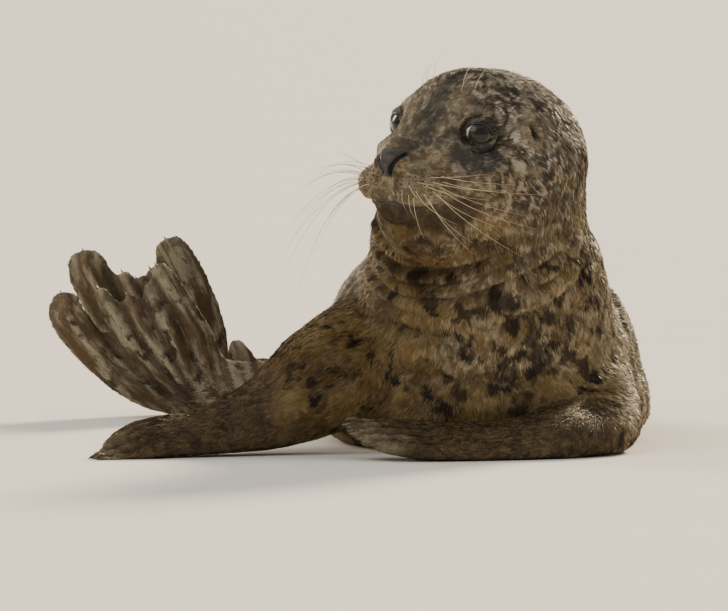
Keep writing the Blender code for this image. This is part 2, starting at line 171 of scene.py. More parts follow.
LEFT_HEEL = (
    ((-0.049, 0.385, 0.036), 0.034),
    ((-0.108, 0.400, 0.033), 0.028),
    ((-0.167, 0.400, 0.036), 0.036),
)
TAIL = (
    ((-0.060, 0.364, 0.041), 0.030),
    ((-0.095, 0.364, 0.046), 0.014),
    ((-0.118, 0.364, 0.078), 0.011),
)


def unit(rows):
    """Each row at a length of 1."""
    return rows / np.maximum(np.linalg.norm(rows, axis=-1, keepdims=True), 1e-9)


def ease(low, high, values):
    """0 below low, 1 above high, and a smooth rise between."""
    share = np.clip((values - low) / (high - low), 0, 1)
    return share * share * (3 - 2 * share)


def fall(low, high, values):
    """1 below low, 0 above high, and a smooth fall between."""
    return 1 - ease(low, high, values)


def bell(values, width):
    """1 at zero, falling off evenly on both sides over about the width."""
    return np.exp(-((values / width) ** 2))


def beside(points, start, end):
    """How far points lie from a line's stretch, and how far along it, from 0 to 1, they are."""
    start, end = np.array(start, float), np.array(end, float)
    along = end - start
    share = np.clip((points - start) @ along / (along @ along), 0, 1)
    return np.linalg.norm(points - start - share[:, None] * along, axis=1), share


def in_head(points):
    """Points in the head's own frame, in millimetres."""
    turn = np.array(HEAD.inverted())
    return points @ turn[:3, :3].T + turn[:3, 3]


def mirrored_of(points):
    """Points of the head with its right side folded onto its left."""
    side = np.where(points[:, 1] >= 0, 1, -1)
    return points * np.stack([np.ones(len(points)), side, np.ones(len(points))], axis=1)


def off_spot(points, spot, sizes=1):
    """How far points lie from a spot, in the given half-sizes of a form round it where there are any."""
    return np.linalg.norm((points - spot) / sizes, axis=1)


def off_pair(points, spot):
    """How far points of the head lie from a spot or from its mirror on the other side."""
    return off_spot(points * (1, 0, 1) + np.abs(points) * (0, 1, 0), spot)


def wander(points, size, seed):
    """A smooth wavering value in -1 to 1 that differs from place to place, about size metres apart."""
    draw = np.random.default_rng(seed)
    total = np.zeros(len(points))
    for _ in range(6):
        way = unit(draw.normal(size=3)) * 2 * math.pi / (size * draw.uniform(0.7, 1.5))
        total += np.sin(points @ way + draw.uniform(0, 2 * math.pi))
    return total / 3.2


def claw_lines(flipper):
    """Each claw's base, the way it points and the way its back faces, in metres."""
    claw = FORE_CLAW if "fore" in flipper else HIND_CLAW
    lines = []
    for row in DIGITS[flipper]:
        tip, along = np.array(row[-1]), unit(np.array(row[-1], float) - row[claw["from"]])
        side = unit(np.cross(along, CLAW_UP[flipper]))
        up = np.cross(side, along)
        base = tip + along * (claw["reach"] - claw["sunk"]) + up * claw["radius"] * 1.25
        lines.append((base * MM, along, up))
    return claw, lines


def select_only(obj):
    bpy.ops.object.select_all(action="DESELECT")
    obj.select_set(True)
    bpy.context.view_layer.objects.active = obj


def places_of(mesh):
    places = np.empty(len(mesh.vertices) * 3)
    mesh.vertices.foreach_get("co", places)
    return places.reshape(-1, 3)


def normals_of(mesh):
    normals = np.empty(len(mesh.vertices) * 3)
    mesh.vertices.foreach_get("normal", normals)
    return normals.reshape(-1, 3)


def put_places(mesh, places):
    """Moves a mesh's points to the given places."""
    mesh.vertices.foreach_set("co", places.ravel())
    mesh.update()


def smooth_faces(mesh):
    mesh.polygons.foreach_set("use_smooth", [True] * len(mesh.polygons))


def finer(obj, chosen, passes):
    """Subdivides the faces between the chosen vertices once, and eases the new points over the form."""
    select_only(obj)
    bpy.context.tool_settings.mesh_select_mode = (False, False, True)
    obj.data.vertices.foreach_set("select", [False] * len(obj.data.vertices))
    obj.data.edges.foreach_set("select", [False] * len(obj.data.edges))
    flags = [all(chosen[i] for i in polygon.vertices) for polygon in obj.data.polygons]
    obj.data.polygons.foreach_set("select", flags)
    bpy.ops.object.mode_set(mode="EDIT")
    bpy.ops.mesh.subdivide(number_cuts=1, quadcorner="INNERVERT")
    bpy.ops.mesh.vertices_smooth(factor=0.5, repeat=passes)
    bpy.ops.object.mode_set(mode="OBJECT")


bpy.ops.object.select_all(action="DESELECT")
copies = []
for name in (*FLESH, *EYES):
    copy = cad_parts[name].copy()
    copy.data = copy.data.copy()
    copy.parent = None
    for key in list(copy.keys()):
        del copy[key]
    bpy.context.scene.collection.objects.link(copy)
    copy.select_set(True)
    copies.append(copy)
bpy.context.view_layer.objects.active = copies[0]
bpy.ops.object.join()
skin = bpy.context.object
skin.name = skin.data.name = "skin"
bpy.ops.object.mode_set(mode="EDIT")
bpy.ops.mesh.select_all(action="SELECT")
bpy.ops.mesh.remove_doubles(threshold=0.00001)
bpy.ops.object.mode_set(mode="OBJECT")

# The claws' own points draw back into the digits before the skin is drawn over them.
places = places_of(skin.data)
for flipper in DIGITS:
    claw, lines = claw_lines(flipper)
    for base, along, up in lines:
        ahead = (places - base) @ along
        off = np.linalg.norm(places - base - ahead[:, None] * along, axis=1)
        beyond = (off < 4.5 * MM) & (ahead > (claw["sunk"] + 0.5) * MM) & (ahead < 20 * MM)
        places[beyond] -= np.outer(ahead[beyond] - (claw["sunk"] - 2) * MM, along)
put_places(skin.data, places)

for kind, settings in (
    ("REMESH", {"mode": "VOXEL", "voxel_size": SKIN_GRID}),
    ("SMOOTH", {"factor": 0.5, "iterations": 4}),
):
    modifier = skin.modifiers.new(kind.lower(), kind)
    for key, value in settings.items():
        setattr(modifier, key, value)
    select_only(skin)
    bpy.ops.object.modifier_apply(modifier=modifier.name)

# Closer points on the face, the throat and the hind flippers, closer still round the muzzle, the eyes and
# the ears, and closest at the nose and the lids.
places = places_of(skin.data)
at_head = in_head(places)
face = (at_head[:, 0] > -135) & (np.abs(at_head[:, 1]) < 100) & (at_head[:, 2] > -85)
throat_side = (places[:, 1] < -0.30) & (places[:, 2] > 0.16)
hind_side = (places[:, 0] < -0.13) & (places[:, 1] > 0.25)
finer(skin, face | throat_side | hind_side, 2)
at_head = in_head(places_of(skin.data))
near_muzzle = off_spot(at_head, (-16, 0, -22)) < 56
finer(skin, (off_pair(at_head, LIDS_SPOT) < 34) | (off_pair(at_head, EAR_SPOT) < 24) | near_muzzle, 1)
at_head = in_head(places_of(skin.data))
near_nose = off_spot(at_head, (-10, 0, -6)) < 26
finer(skin, (off_pair(at_head, LIDS_SPOT) < 24) | near_nose, 1)

places, normals = places_of(skin.data), normals_of(skin.data)
at_head = in_head(places)
eye_frames = {}
for name, side in EYES.items():
    out = unit(np.array(LIDS_FACE[name]))
    front = unit(np.cross((0, 0, 1), out)) * -side
    up = np.cross(out, front) * side
    front, up = (
        front * math.cos(LIDS_TILT) - up * math.sin(LIDS_TILT),
        up * math.cos(LIDS_TILT) + front * math.sin(LIDS_TILT),
    )
    centre = np.array((EYE_CENTRE[0], side * EYE_CENTRE[1], EYE_CENTRE[2])) - EYE_SUNK * out
    eye_frames[name] = (centre, out, front, up)


def lids_gap(front, up):
    """Where a point lies against the almond between the lids: under 1 inside it, over 1 outside."""
    lean = front / LIDS_LONG
    middle = 0.12 - 0.10 * lean
    taper = np.clip(1 - lean**2, 0, 1) ** 0.62
    top = (0.98 + 0.05 * lean) * taper
    low = 0.98 * taper
    tall = np.where(up / LIDS_TALL > middle * taper, top, low)
    rise = np.abs(up / LIDS_TALL) / np.maximum(tall, 0.05)
    return np.maximum(rise, np.abs(lean) ** 3)


# How deep the coat lies over each place: least on the face, the flippers and under the body, and none on the
# bare nose.
fore_mask = np.zeros(len(places))
for arm in (RIGHT_ARM, LEFT_ARM):
    for (start, first), (end, second) in zip(arm[2:], arm[3:]):
        off, _ = beside(places, start, end)
        fore_mask = np.maximum(fore_mask, fall(0.9, 1.5, off / (1.25 * first)))
hind_mask = fall(-0.095, -0.065, places[:, 0])
hind_mask *= ease(0.2, 0.25, places[:, 1])
face_mask = fall(60, 120, off_spot(at_head, (-10, 0, -15)))
slit_aside = np.interp(at_head[:, 2], (-15, 9.5), (4.2, 14.6))
nose_mask = fall(2.6, 4.8, np.abs(at_head[:, 1]) - slit_aside + 0.8 * wander(places, 0.008, 8))
nose_mask *= fall(7.5, 11, at_head[:, 2] - 0.10 * np.abs(at_head[:, 1]))
nose_mask *= ease(-21, -18, at_head[:, 2]) * ease(-34, -26, at_head[:, 0])
on_skull = fall(0.085, 0.115, off_spot(places, HEAD_CENTRE))
limbs = np.maximum(fore_mask, hind_mask)
depth = COAT_DEPTH - 0.8 * limbs - np.maximum(face_mask, on_skull)
on_floor = fall(2, 8, places[:, 2] / MM) * ease(0.3, 0.8, -normals[:, 2])
depth *= (1 - nose_mask) * (1 - 0.85 * on_floor)
places -= normals * depth[:, None] * MM


def pressed_in(amount):
    """Moves every point inwards along its normal, by millimetres."""
    global places
    places = places - normals * amount[:, None] * MM


# Folds of loose skin round the throat, deepest in front and gone at the nape: how far each lies from the
# throat's middle, its width and its depth.
throat = np.array((0.110, -0.330, 0.312))
THROAT_FOLDS = (
    (108, 3.4, 5.0), (121, 3.6, 5.8), (135, 3.6, 4.2), (150, 4.4, 6.4),
    (166, 4.6, 4.0), (186, 6.0, 3.2), (212, 8.0, 2.2),
)
reach = off_spot(places, throat) / MM + 3.5 * wander(places, 0.09, 5)
facing = unit(places - np.array((0.150, -0.255, 0.20)))
front_side = ease(-0.25, 0.45, -facing[:, 1]) * (1 - limbs)
below_chin = ease(60, 74, -at_head[:, 2] + 0.16 * (at_head[:, 0] + 100)) * ease(0.10, 0.15, places[:, 2])
# Painted shade along the folds and the digits' furrows, gathered here and laid into the colour below.
fold_shade = np.zeros(len(places))
for radius, width, fold_depth in THROAT_FOLDS:
    strength = front_side * below_chin * np.clip(0.75 + 0.45 * wander(places, 0.12, radius), 0.1, 1.2)
    line = bell(reach - radius, width)
    pressed_in(strength * fold_depth * (line - 0.5 * bell(reach - radius - 2.2 * width, width * 1.4)))
    # Painted shade along each throat fold's line, deeper for deeper folds.
    fold_shade = np.maximum(fold_shade, line * strength * fold_depth / 4.5)

# Slack folds across the chest, by height, width, depth and seed, and along the flank, where the trunk bends.
CHEST_FOLDS = ((0.142, 7, 2.4, 2), (0.116, 6, 2.6, 3), (0.092, 6, 3.0, 4), (0.070, 5, 3.2, 6))
chest_front = ease(0.0, 0.6, -facing[:, 1]) * (1 - fore_mask) * fall(0.16, 0.2, places[:, 2])
for height, width, fold_depth, seed in CHEST_FOLDS:
    level = (places[:, 2] - height) / MM + 11 * wander(places, 0.15, seed)
    strength = chest_front * ease(0.0, 0.7, 0.45 + wander(places, 0.12, seed + 20))
    pressed_in(fold_depth * strength * (bell(level, width) - 0.4 * bell(level - 2 * width, 1.5 * width)))
    # Painted shade along each chest fold.
    fold_shade = np.maximum(fold_shade, 0.6 * strength * bell(level, 0.8 * width))
bend = ease(0.02, 0.2, places[:, 1]) * (1 - hind_mask) * ease(0.03, 0.07, places[:, 2])
girth = places[:, 1] / MM * 0.8 - places[:, 0] / MM * 0.6 + 10 * wander(places, 0.2, 9)
flank_folds = np.clip(np.sin(girth * 2 * math.pi / 52), -0.5, 1)
pressed_in(bend * 1.4 * (flank_folds * ease(0.1, 0.8, wander(places, 0.2, 12) + 0.5)))
loose = (1 - face_mask) * (1 - limbs) * ease(0.02, 0.05, places[:, 2])
pressed_in(wander(places, 0.085, 31) * loose)
pressed_in(0.5 * wander(places, 0.032, 32) * loose)

# Ridges along the digits and furrows between them, the same on both faces of a flipper. Each point's place
# across and along its digit is kept, for the streaks in the hind flippers' coat.
digit_place = np.array(places)
for flipper, rows in DIGITS.items():
    blade = unit(np.array(CLAW_UP[flipper], float))
    own = hind_mask * ((places[:, 1] < 0.364) == (flipper == "right_hind"))
    if "fore" in flipper:
        own = fore_mask * ((places[:, 0] < 0) == (flipper == "right_fore"))
    flat = places - np.outer(places @ blade, blade)
    count = min(len(row) for row in rows)
    lines = [np.array(row, float)[-count:] * MM for row in rows]
    lines = [line - np.outer(line @ blade, blade) for line in lines]
    ridge, furrow = (4.0, (3.0, 0.4)) if "hind" in flipper else (1.5, (2.2, 1.0))
    nearest = np.full(len(places), 1e9)
    for number, line in enumerate(lines):
        off = np.min([beside(flat, a, b)[0] for a, b in zip(line, line[1:])], axis=0) / MM
        pressed_in(own * -ridge * bell(off, 5.0))
        run = 0.0
        for a, b in zip(line, line[1:]):
            off, share = beside(flat, a, b)
            aside = (flat - a) @ np.cross(blade, unit(b - a))
            closer = (off < nearest) & (own > 0)
            nearest = np.where(closer, off, nearest)
            run_here = run + share * np.linalg.norm(b - a)
            here = np.full((len(off), 3), 0.11 * number)
            here[:, 0] = aside + 0.08 * number
            here[:, 1] = 0.17 * run_here
            digit_place = np.where(closer[:, None], here, digit_place)
            run += np.linalg.norm(b - a)
    for line, following in zip(lines, lines[1:]):
        between = (line + following) / 2
        offs = [beside(flat, a, b)[0] / MM for a, b in zip(between, between[1:])]
        # The web thins towards the tips, and so does the furrow over it.
        depths = np.linspace(furrow[0], furrow[1], len(offs))
        furrows = [depth_here * bell(off, 3.2) for depth_here, off in zip(depths, offs)]
        pressed_in(own * np.max(furrows, axis=0))
        # Painted shade along the furrows between the digits, stronger on the hind flippers.
        shade = 1.3 if "hind" in flipper else 0.9
        fold_shade = np.maximum(fold_shade, own * bell(np.min(offs, axis=0), 4.2) * shade)

# The right hand lies flattest on the floor, and its digits stay full there up to the claws.
hand_off = [beside(places, base - 0.011 * along, base)[0] for base, along, _ in claw_lines("right_fore")[1]]
pressed_in(-2.3 * fall(5, 12, np.min(hand_off, axis=0) / MM))

# The face: brow, muzzle, nostrils, the cleft of the lip, the mouth's line and the ears' small openings.
at_head = in_head(places)
mirrored = mirrored_of(at_head)


def line_off(points, line):
    """The least distance to a line through the given points, in the head's millimetres."""
    return np.min([beside(points, a, b)[0] for a, b in zip(line, line[1:])], axis=0)


MOUTH = ((-8, 0, -44), (-13, 15, -47), (-26, 36, -46), (-45, 52, -42), (-68, 60, -33), (-80, 64, -30))
NOSTRIL = ((0, 14.2, 6.5), (0, 10.8, -2), (0, 6.8, -9), (0, 4.6, -15.5))
CLEFT = ((1, 0, -12), (-5, 0, -26), (-8, 0, -44))
EAR = ((-140, 76, 53), (-145, 77, 35))
mouth_off = line_off(mirrored, MOUTH)
nostril_off = line_off(mirrored * (0, 1, 1), NOSTRIL) + 9 * (mirrored[:, 0] < -30)
cleft_off = line_off(at_head, CLEFT)
ear_off = line_off(mirrored, EAR)
pad_off = off_spot(mirrored, (-24, 31, -29), (24, 21, 16))
below_mouth = ease(0, 10, -40 - mirrored[:, 2] - 0.12 * (mirrored[:, 0] + 40))
pressed_in(4.6 * bell(mouth_off, 3.2) + 1.6 * bell(mouth_off, 7.5) * below_mouth)
pressed_in(-2.2 * fall(0.2, 1.2, pad_off))
under_lid = off_spot(mirrored, (-63, 46, 19), (20, 16, 17))
nose_wing = off_spot(mirrored, (-8, 17, -3), (11, 9, 13))
pressed_in(-4.2 * fall(0.2, 1.2, under_lid) - 2.6 * fall(0.2, 1.2, nose_wing))
pressed_in(4.8 * bell(nostril_off, 1.9) - 0.8 * bell(nostril_off - 4.2, 2.0) * nose_mask)
pressed_in(1.8 * bell(cleft_off, 1.6) + 0.7 * bell(cleft_off, 5))
pressed_in(7.0 * bell(ear_off, 3.4) - 1.8 * bell(ear_off - 8.0, 3.0))

# The lids lie on the ball of the eye, and between them the skin drops behind it.
at_head = in_head(places)
opening = np.full(len(places), 9.0)
for centre, out, front, up in eye_frames.values():
    rel = at_head - centre
    ahead, fore, rise = rel @ out, rel @ front, rel @ up
    gap = lids_gap(fore, rise)
    gap[ahead < 0] = 9
    flat = np.hypot(fore / (LIDS_LONG + 1), rise / (LIDS_TALL + 1.5))
    on_ball = np.sqrt(np.maximum((EYE_RADIUS + 1.5) ** 2 - fore**2 - rise**2, 4.0))
    hug = fall(1.05, 1.75, flat) * (ahead > 0)
    lid_fold = 0.7 * bell(flat - 1.62, 0.20) * (ahead > 0)
    behind = fall(0.86, 1.02, gap)
    wanted = on_ball - 5.5 * behind
    puffed = bell(flat - 2.1, 0.5) * (ahead > 0)
    move = hug * (wanted - ahead) - lid_fold * np.where(rise > 0, 1, 0.7) + puffed
    places += move[:, None] * (HEAD_AXES @ out)
    opening = np.minimum(opening, np.where(ahead > 0, gap, 9))
places[:, 2] = np.maximum(places[:, 2], SKIN_LOWEST)
put_places(skin.data, places)
smooth_faces(skin.data)
skin.data.update()
places, normals = places_of(skin.data), normals_of(skin.data)
at_head = in_head(places)
mirrored = mirrored_of(at_head)

# The lie of the hair: back from the nose over the head, then along the spine and down each limb.
lie = np.zeros_like(places)
total = np.zeros(len(places))
strands = [SPINE, RIGHT_ARM, LEFT_ARM, RIGHT_HEEL, LEFT_HEEL, TAIL]
for flipper in ("right_hind", "left_hind"):
    for row in DIGITS[flipper]:
        strands.append(tuple((np.array(point) * MM, 0.016) for point in row))
claims = []
for strand in strands:
    best = np.zeros(len(places))
    for step, ((start, first), (end, second)) in enumerate(zip(strand, strand[1:])):
        off, share = beside(places, start, end)
        weight = (off / (first + (second - first) * share)) ** -7.0
        # The hair of the left shoulder falls outwards to the floor before it turns along the arm.
        outwards = (0.5, 1.3, -1.2) if strand is LEFT_ARM and step < 2 else (0, 0, 0)
        lie += weight[:, None] * unit(unit(np.array(end) - np.array(start)) + np.array(outwards))
        total += weight
        best = np.maximum(best, weight)
    claims.append(best)
head_weight = (off_spot(places, HEAD_CENTRE) / 0.097) ** -9.0
lie += head_weight[:, None] * unit(places - np.array(HEAD @ Vector((4, 0, -6))))
claims.append(head_weight)
owner = np.argmax(claims, axis=0)
lie -= normals * np.einsum("ij,ij->i", lie, normals)[:, None]
lie = unit(lie)

# Where the markings change: back or belly, dark patches, pale places, flippers, bare skin, and painted shade.
upward = normals[:, 2]
nape_side = ease(-0.3, 0.5, facing[:, 1])
dorsal_trunk = ease(0.02, 0.2, places[:, 1]) * ease(-0.2, 0.5, upward)
left_flank = ease(0.19, 0.29, places[:, 0])
nape_back = nape_side * ease(0.05, 0.12, places[:, 2])
dorsal = np.clip(np.maximum.reduce([nape_back, dorsal_trunk, 0.5 * left_flank]), 0, 1)
head_part = np.clip(head_weight / np.sum(claims, axis=0), 0, 1)
neck_side = ease(0.13, 0.20, places[:, 0]) * ease(0.19, 0.24, places[:, 2]) * ease(-0.8, -0.1, facing[:, 1])
skull_off = off_spot(places, HEAD_CENTRE) + 0.010 * wander(places, 0.06, 51)
skull = fall(0.100, 0.150, skull_off)
under_jaw = fall(-68, -26, at_head[:, 2] + 8 * wander(places, 0.05, 52))
skull *= 1 - 0.85 * (under_jaw * ease(-165, -120, at_head[:, 0]))
fine_marks = np.maximum.reduce([skull, 0.6 * nape_side * ease(0.12, 0.2, places[:, 2]), 0.55 * neck_side])
silver = ease(0.085, 0.125, places[:, 0]) * ease(0.06, 0.10, places[:, 2])
silver *= fall(0.22, 0.26, places[:, 2]) * ease(-0.1, 0.4, -facing[:, 1])
silver *= (1 - fore_mask) * np.clip(0.7 + 0.5 * wander(places, 0.035, 71), 0, 1)
dorsal = np.maximum.reduce([dorsal, skull, 0.8 * neck_side, 0.75 * silver])
# The face between eyes and nose is plainer, a soft grey-brown.
plain_face = ease(-104, -66, at_head[:, 0]) * skull
fine_marks *= 1 - 0.45 * plain_face
dorsal *= 1 - np.maximum(0.30 * plain_face, 0.55 * skull * fall(-22, 24, at_head[:, 2]))
STREAK = ((-26, 12, 12), (-44, 16, 28), (-64, 8, 56), (-92, 4, 80))
OTHER_STREAK = ((-40, -14, 24), (-62, -6, 54))
UNDER_EYE = ((-56, 50, 10), (-70, 58, 4), (-90, 63, 10))
UNDER_RIGHT_EYE = ((-60, -50, 12), (-76, -61, 20), (-92, -63, 38))
BROW_LINE = ((-46, 30, 22), (-62, 44, 26))
NOSE_SIDE = ((-30, 26, 8), (-46, 34, 10))
LIP_MIDDLE = ((2, 0, -24), (-4, 0, -36))
OVER_LEFT_EYE = ((-60, 30, 48), (-84, 22, 74))
LOWER_LIP = ((-18, 0, -57), (-30, 24, -57), (-52, 44, -52), (-72, 54, -44))
blur = 4 * wander(places, 0.022, 40) + 2.5 * wander(places, 0.009, 41)
eye_off = off_spot(mirrored, (-80, 58, 33), (26, 22, 17))
near_left = ease(-8, 8, at_head[:, 1])
patch = np.maximum.reduce([
    0.80 * fall(3, 15, line_off(at_head, STREAK) + blur),
    0.45 * fall(3, 13, line_off(at_head, OTHER_STREAK) + blur),
    (0.6 + 0.38 * near_left) * fall(8, 19, line_off(mirrored, UNDER_EYE) + 0.7 * blur),
    (0.15 + 0.60 * near_left) * fall(0.80, 1.40, eye_off + 0.07 * blur),
    0.70 * fall(2, 12, line_off(mirrored, BROW_LINE) + blur),
])
pale = np.maximum.reduce([
    0.95 * fall(0.85, 1.6, pad_off),
    0.7 * fall(8, 16, line_off(at_head, LIP_MIDDLE)),
    0.95 * bell(ear_off - 10, 6),
    0.45 * fall(8, 22, line_off(mirrored, NOSE_SIDE) + blur),
    0.80 * fall(4, 13, line_off(at_head, UNDER_RIGHT_EYE) + 0.5 * blur),
    0.6 * fall(5, 16, line_off(at_head, OVER_LEFT_EYE) + 1.5 * blur),
])
digit_ends = np.array([row[-1] for rows in DIGITS.values() for row in rows], float) * MM
tip_off = np.min([off_spot(places, end) for end in digit_ends], axis=0) / MM
pale = np.maximum(pale, 0.55 * fall(8, 30, tip_off) * hind_mask)
pale = np.maximum(pale, 0.9 * fall(8, 50, tip_off + 2 * blur) * fore_mask)
# Painted shade: dark brown under the lower lip and chin, along the folds and furrows, and in the lip's cleft.
painted_shade = fall(8, 21, line_off(mirrored, LOWER_LIP) + 0.6 * blur)
painted_shade = np.maximum(painted_shade, 0.85 * np.clip(fold_shade, 0, 1))
painted_shade = np.maximum(painted_shade, 0.9 * fall(0.8, 2.4, cleft_off))
lips = fall(1.8, 5.0, mouth_off)
bare = np.maximum.reduce([nose_mask, fall(0.98, 1.10, opening), 0.7 * lips, fall(3.6, 5.2, ear_off)])
bare = np.clip(bare, 0, 1)
# The brown of the right fore flipper starts half-way down the arm, and that of the left at its elbow.
elbow_off = places[:, 0] + 0.012 * wander(places, 0.04, 73)
fore_zone = fore_mask * np.where(places[:, 0] < 0, fall(-0.090, -0.045, elbow_off), 1)
skin_fields = {
    "zones": np.stack([dorsal, patch, pale, fore_zone], axis=1),
    "zones_2": np.stack([hind_mask, bare, painted_shade, fine_marks], axis=1),
}


def keep(mesh, title, kind, values):
    """Keeps a color or a vector at each point of a mesh, for the materials to read."""
    attribute = mesh.attributes.new(title, f"FLOAT_{kind.upper()}", "POINT")
    attribute.data.foreach_set(kind, values.astype(np.float32).ravel())


for title, values in skin_fields.items():
    keep(skin.data, title, "color", values)
keep(skin.data, "root", "vector", places)
keep(skin.data, "digit_place", "vector", digit_place)


def feed(tree, socket, value):
    """Links another node's output into a socket, or sets the socket's own value."""
    if isinstance(value, bpy.types.NodeSocket):
        tree.links.new(value, socket)
    else:
        socket.default_value = value


def node(tree, kind, settings=None, **links):
    """A shader node with its properties set. An input is given by its name, or by its place as i0, i1, ..."""
    made = tree.nodes.new(kind)
    for key, value in (settings or {}).items():
        setattr(made, key, value)
    for key, value in links.items():
        key = key.replace("_", " ")
        by_place = key[0] == "i" and key[1:].isdigit()
        feed(tree, made.inputs[int(key[1:]) if by_place else key], value)
    return made


def mapped(tree, value, low, high, **more):
    """0 below low, 1 above high, and a smooth rise between, unless other ends are given."""
    inputs = {"Value": value, "From_Min": low, "From_Max": high, **more}
    return node(tree, "ShaderNodeMapRange", {"interpolation_type": "SMOOTHSTEP"}, **inputs).outputs["Result"]


def blended(tree, factor, first, second, way="MIX"):
    """The first colour where the factor is 0, and the second mixed in or multiplied in where it is 1."""
    made = node(tree, "ShaderNodeMix", {"data_type": "RGBA", "blend_type": way}, i0=factor)
    for socket, value in ((made.inputs[6], first), (made.inputs[7], second)):
        feed(tree, socket, (*value, 1) if isinstance(value, tuple) else value)
    return made.outputs[2]


def maths(tree, operation, *values):
    inputs = {f"i{number}": value for number, value in enumerate(values)}
    return node(tree, "ShaderNodeMath", {"operation": operation}, **inputs).outputs[0]


def stored(tree, title, output):
    """What the mesh keeps at each point under a title."""
    return node(tree, "ShaderNodeAttribute", {"attribute_name": title}).outputs[output]


def grained(tree, scale, detail, **more):
    """Noise over the piece's own place."""
    inputs = {"Vector": node(tree, "ShaderNodeTexCoord").outputs["Object"], "Scale": scale, "Detail": detail}
    return node(tree, "ShaderNodeTexNoise", **inputs, **more).outputs["Fac"]


def new_material(title):
    """A material with its node tree and its Principled shader."""
    material = bpy.data.materials.new(title)
    material.use_nodes = True
    return material, material.node_tree, material.node_tree.nodes["Principled BSDF"]


def surface(tree, shader, colour, **values):
    """Gives a shader its colour, and its other inputs by name."""
    for key, value in {"Base_Color": colour, **values}.items():
        feed(tree, shader.inputs[key.replace("_", " ")], value)


# The markings and painted shade are one pattern for hide and hair, read where each hair is rooted.
marks_and_shade = bpy.data.node_groups.new("seal_markings_and_shade", "ShaderNodeTree")
for title, kind, way in (
    ("Root", "Vector", "INPUT"),
    ("Zones", "Color", "INPUT"),
    ("Zones 2", "Color", "INPUT"),
    ("Color", "Color", "OUTPUT"),
    ("Bare", "Float", "OUTPUT"),
):
    marks_and_shade.interface.new_socket(name=title, in_out=way, socket_type=f"NodeSocket{kind}")
given = marks_and_shade.nodes.new("NodeGroupInput")
result = marks_and_shade.nodes.new("NodeGroupOutput")
zones = node(marks_and_shade, "ShaderNodeSeparateColor", Color=given.outputs["Zones"]).outputs
zones_2 = node(marks_and_shade, "ShaderNodeSeparateColor", Color=given.outputs["Zones 2"]).outputs
dorsal_in, patch_in, pale_in = zones[0], zones[1], zones[2]
hind_in, bare_in, shade_in = zones_2[0], zones_2[1], zones_2[2]
fore_in = stored(marks_and_shade, "zones", "Alpha")
fine_in = stored(marks_and_shade, "zones_2", "Alpha")


def moved(where, operation, *by):
    """A place moved by a vector operation."""
    inputs = {f"i{number + 1}": value for number, value in enumerate(by)}
    return node(marks_and_shade, "ShaderNodeVectorMath", {"operation": operation}, i0=where, **inputs).outputs[0]


place = given.outputs["Root"]
for scale, amount in ((34.0, 0.028), (95.0, 0.019)):
    sway = node(marks_and_shade, "ShaderNodeTexNoise", Vector=place, Scale=scale, Detail=2.0).outputs["Color"]
    shift = moved(sway, "MULTIPLY_ADD", (amount,) * 3, (-amount / 2,) * 3)
    place = moved(place, "ADD", shift)


def spots(scale, seed, small, large, share):
    """Round spots of mixed sizes, on about a share of the cells."""
    where = moved(place, "ADD", (seed, seed * 0.7, seed * 1.3))
    cells = node(marks_and_shade, "ShaderNodeTexVoronoi", {"feature": "F1"}, Vector=where, Scale=scale)
    dice = node(marks_and_shade, "ShaderNodeSeparateColor", Color=cells.outputs["Color"]).outputs
    size = maths(marks_and_shade, "MULTIPLY_ADD", dice[0], large - small, small)
    present = maths(marks_and_shade, "LESS_THAN", dice[1], share)
    inner = maths(marks_and_shade, "SUBTRACT", size, cells.outputs["Distance"])
    return maths(marks_and_shade, "MULTIPLY", mapped(marks_and_shade, inner, -0.07, 0.07), present)


def noise(scale, detail, seed, rough=0.6):
    where = moved(place, "ADD", (seed, -seed, seed * 0.5))
    inputs = {"Vector": where, "Scale": scale, "Detail": detail, "Roughness": rough}
    return node(marks_and_shade, "ShaderNodeTexNoise", **inputs).outputs["Fac"]


def times(first, second):
    return maths(marks_and_shade, "MULTIPLY", first, second)


def without(value, mask, share):
    """A value that fades by the given share where the mask is 1."""
    return times(value, maths(marks_and_shade, "SUBTRACT", 1.0, times(mask, share)))


big = spots(27.0, 3.1, 0.08, 0.33, 0.42)
middling = spots(50.0, 7.7, 0.12, 0.50, 0.52)
coarse_mottle = noise(44.0, 4.0, 1.7, 0.62)
head_mottle = noise(88.0, 3.0, 2.9, 0.60)
fine = noise(170.0, 3.0, 5.2, 0.6)
broad = noise(16.0, 2.0, 9.4)
streaks = noise(120.0, 3.0, 12.6, 0.6)
along_digits = {"Vector": stored(marks_and_shade, "digit_place", "Vector"), "Scale": 84.0, "Detail": 3.0}
digit_streaks = node(marks_and_shade, "ShaderNodeTexNoise", Roughness=0.55, **along_digits).outputs["Fac"]

ground = blended(marks_and_shade, mapped(marks_and_shade, broad, 0.36, 0.64), (0.086, 0.049, 0.013), (0.222, 0.146, 0.050))
back_tone = blended(marks_and_shade, fine_in, (0.185, 0.142, 0.086), (0.235, 0.200, 0.150))
ground = blended(marks_and_shade, times(dorsal_in, 0.8), ground, back_tone)
light = times(mapped(marks_and_shade, streaks, 0.46, 0.58), maths(marks_and_shade, "MULTIPLY_ADD", dorsal_in, 0.64, 0.19))
ground = blended(marks_and_shade, light, ground, blended(marks_and_shade, fine_in, (0.55, 0.47, 0.31), (0.60, 0.55, 0.45)))
pale_tone = blended(marks_and_shade, mapped(marks_and_shade, streaks, 0.40, 0.60), (0.205, 0.160, 0.094), (0.365, 0.308, 0.208))
ground = blended(marks_and_shade, pale_in, ground, pale_tone)
brown = blended(marks_and_shade, mapped(marks_and_shade, fine, 0.35, 0.68), (0.052, 0.031, 0.013), (0.185, 0.132, 0.066))
ground = blended(marks_and_shade, without(fore_in, pale_in, 1.2), ground, brown)
grey = blended(marks_and_shade, mapped(marks_and_shade, digit_streaks, 0.42, 0.58), (0.105, 0.068, 0.032), (0.430, 0.390, 0.285))
ground = blended(marks_and_shade, without(times(hind_in, 0.9), pale_in, 0.5), ground, grey)

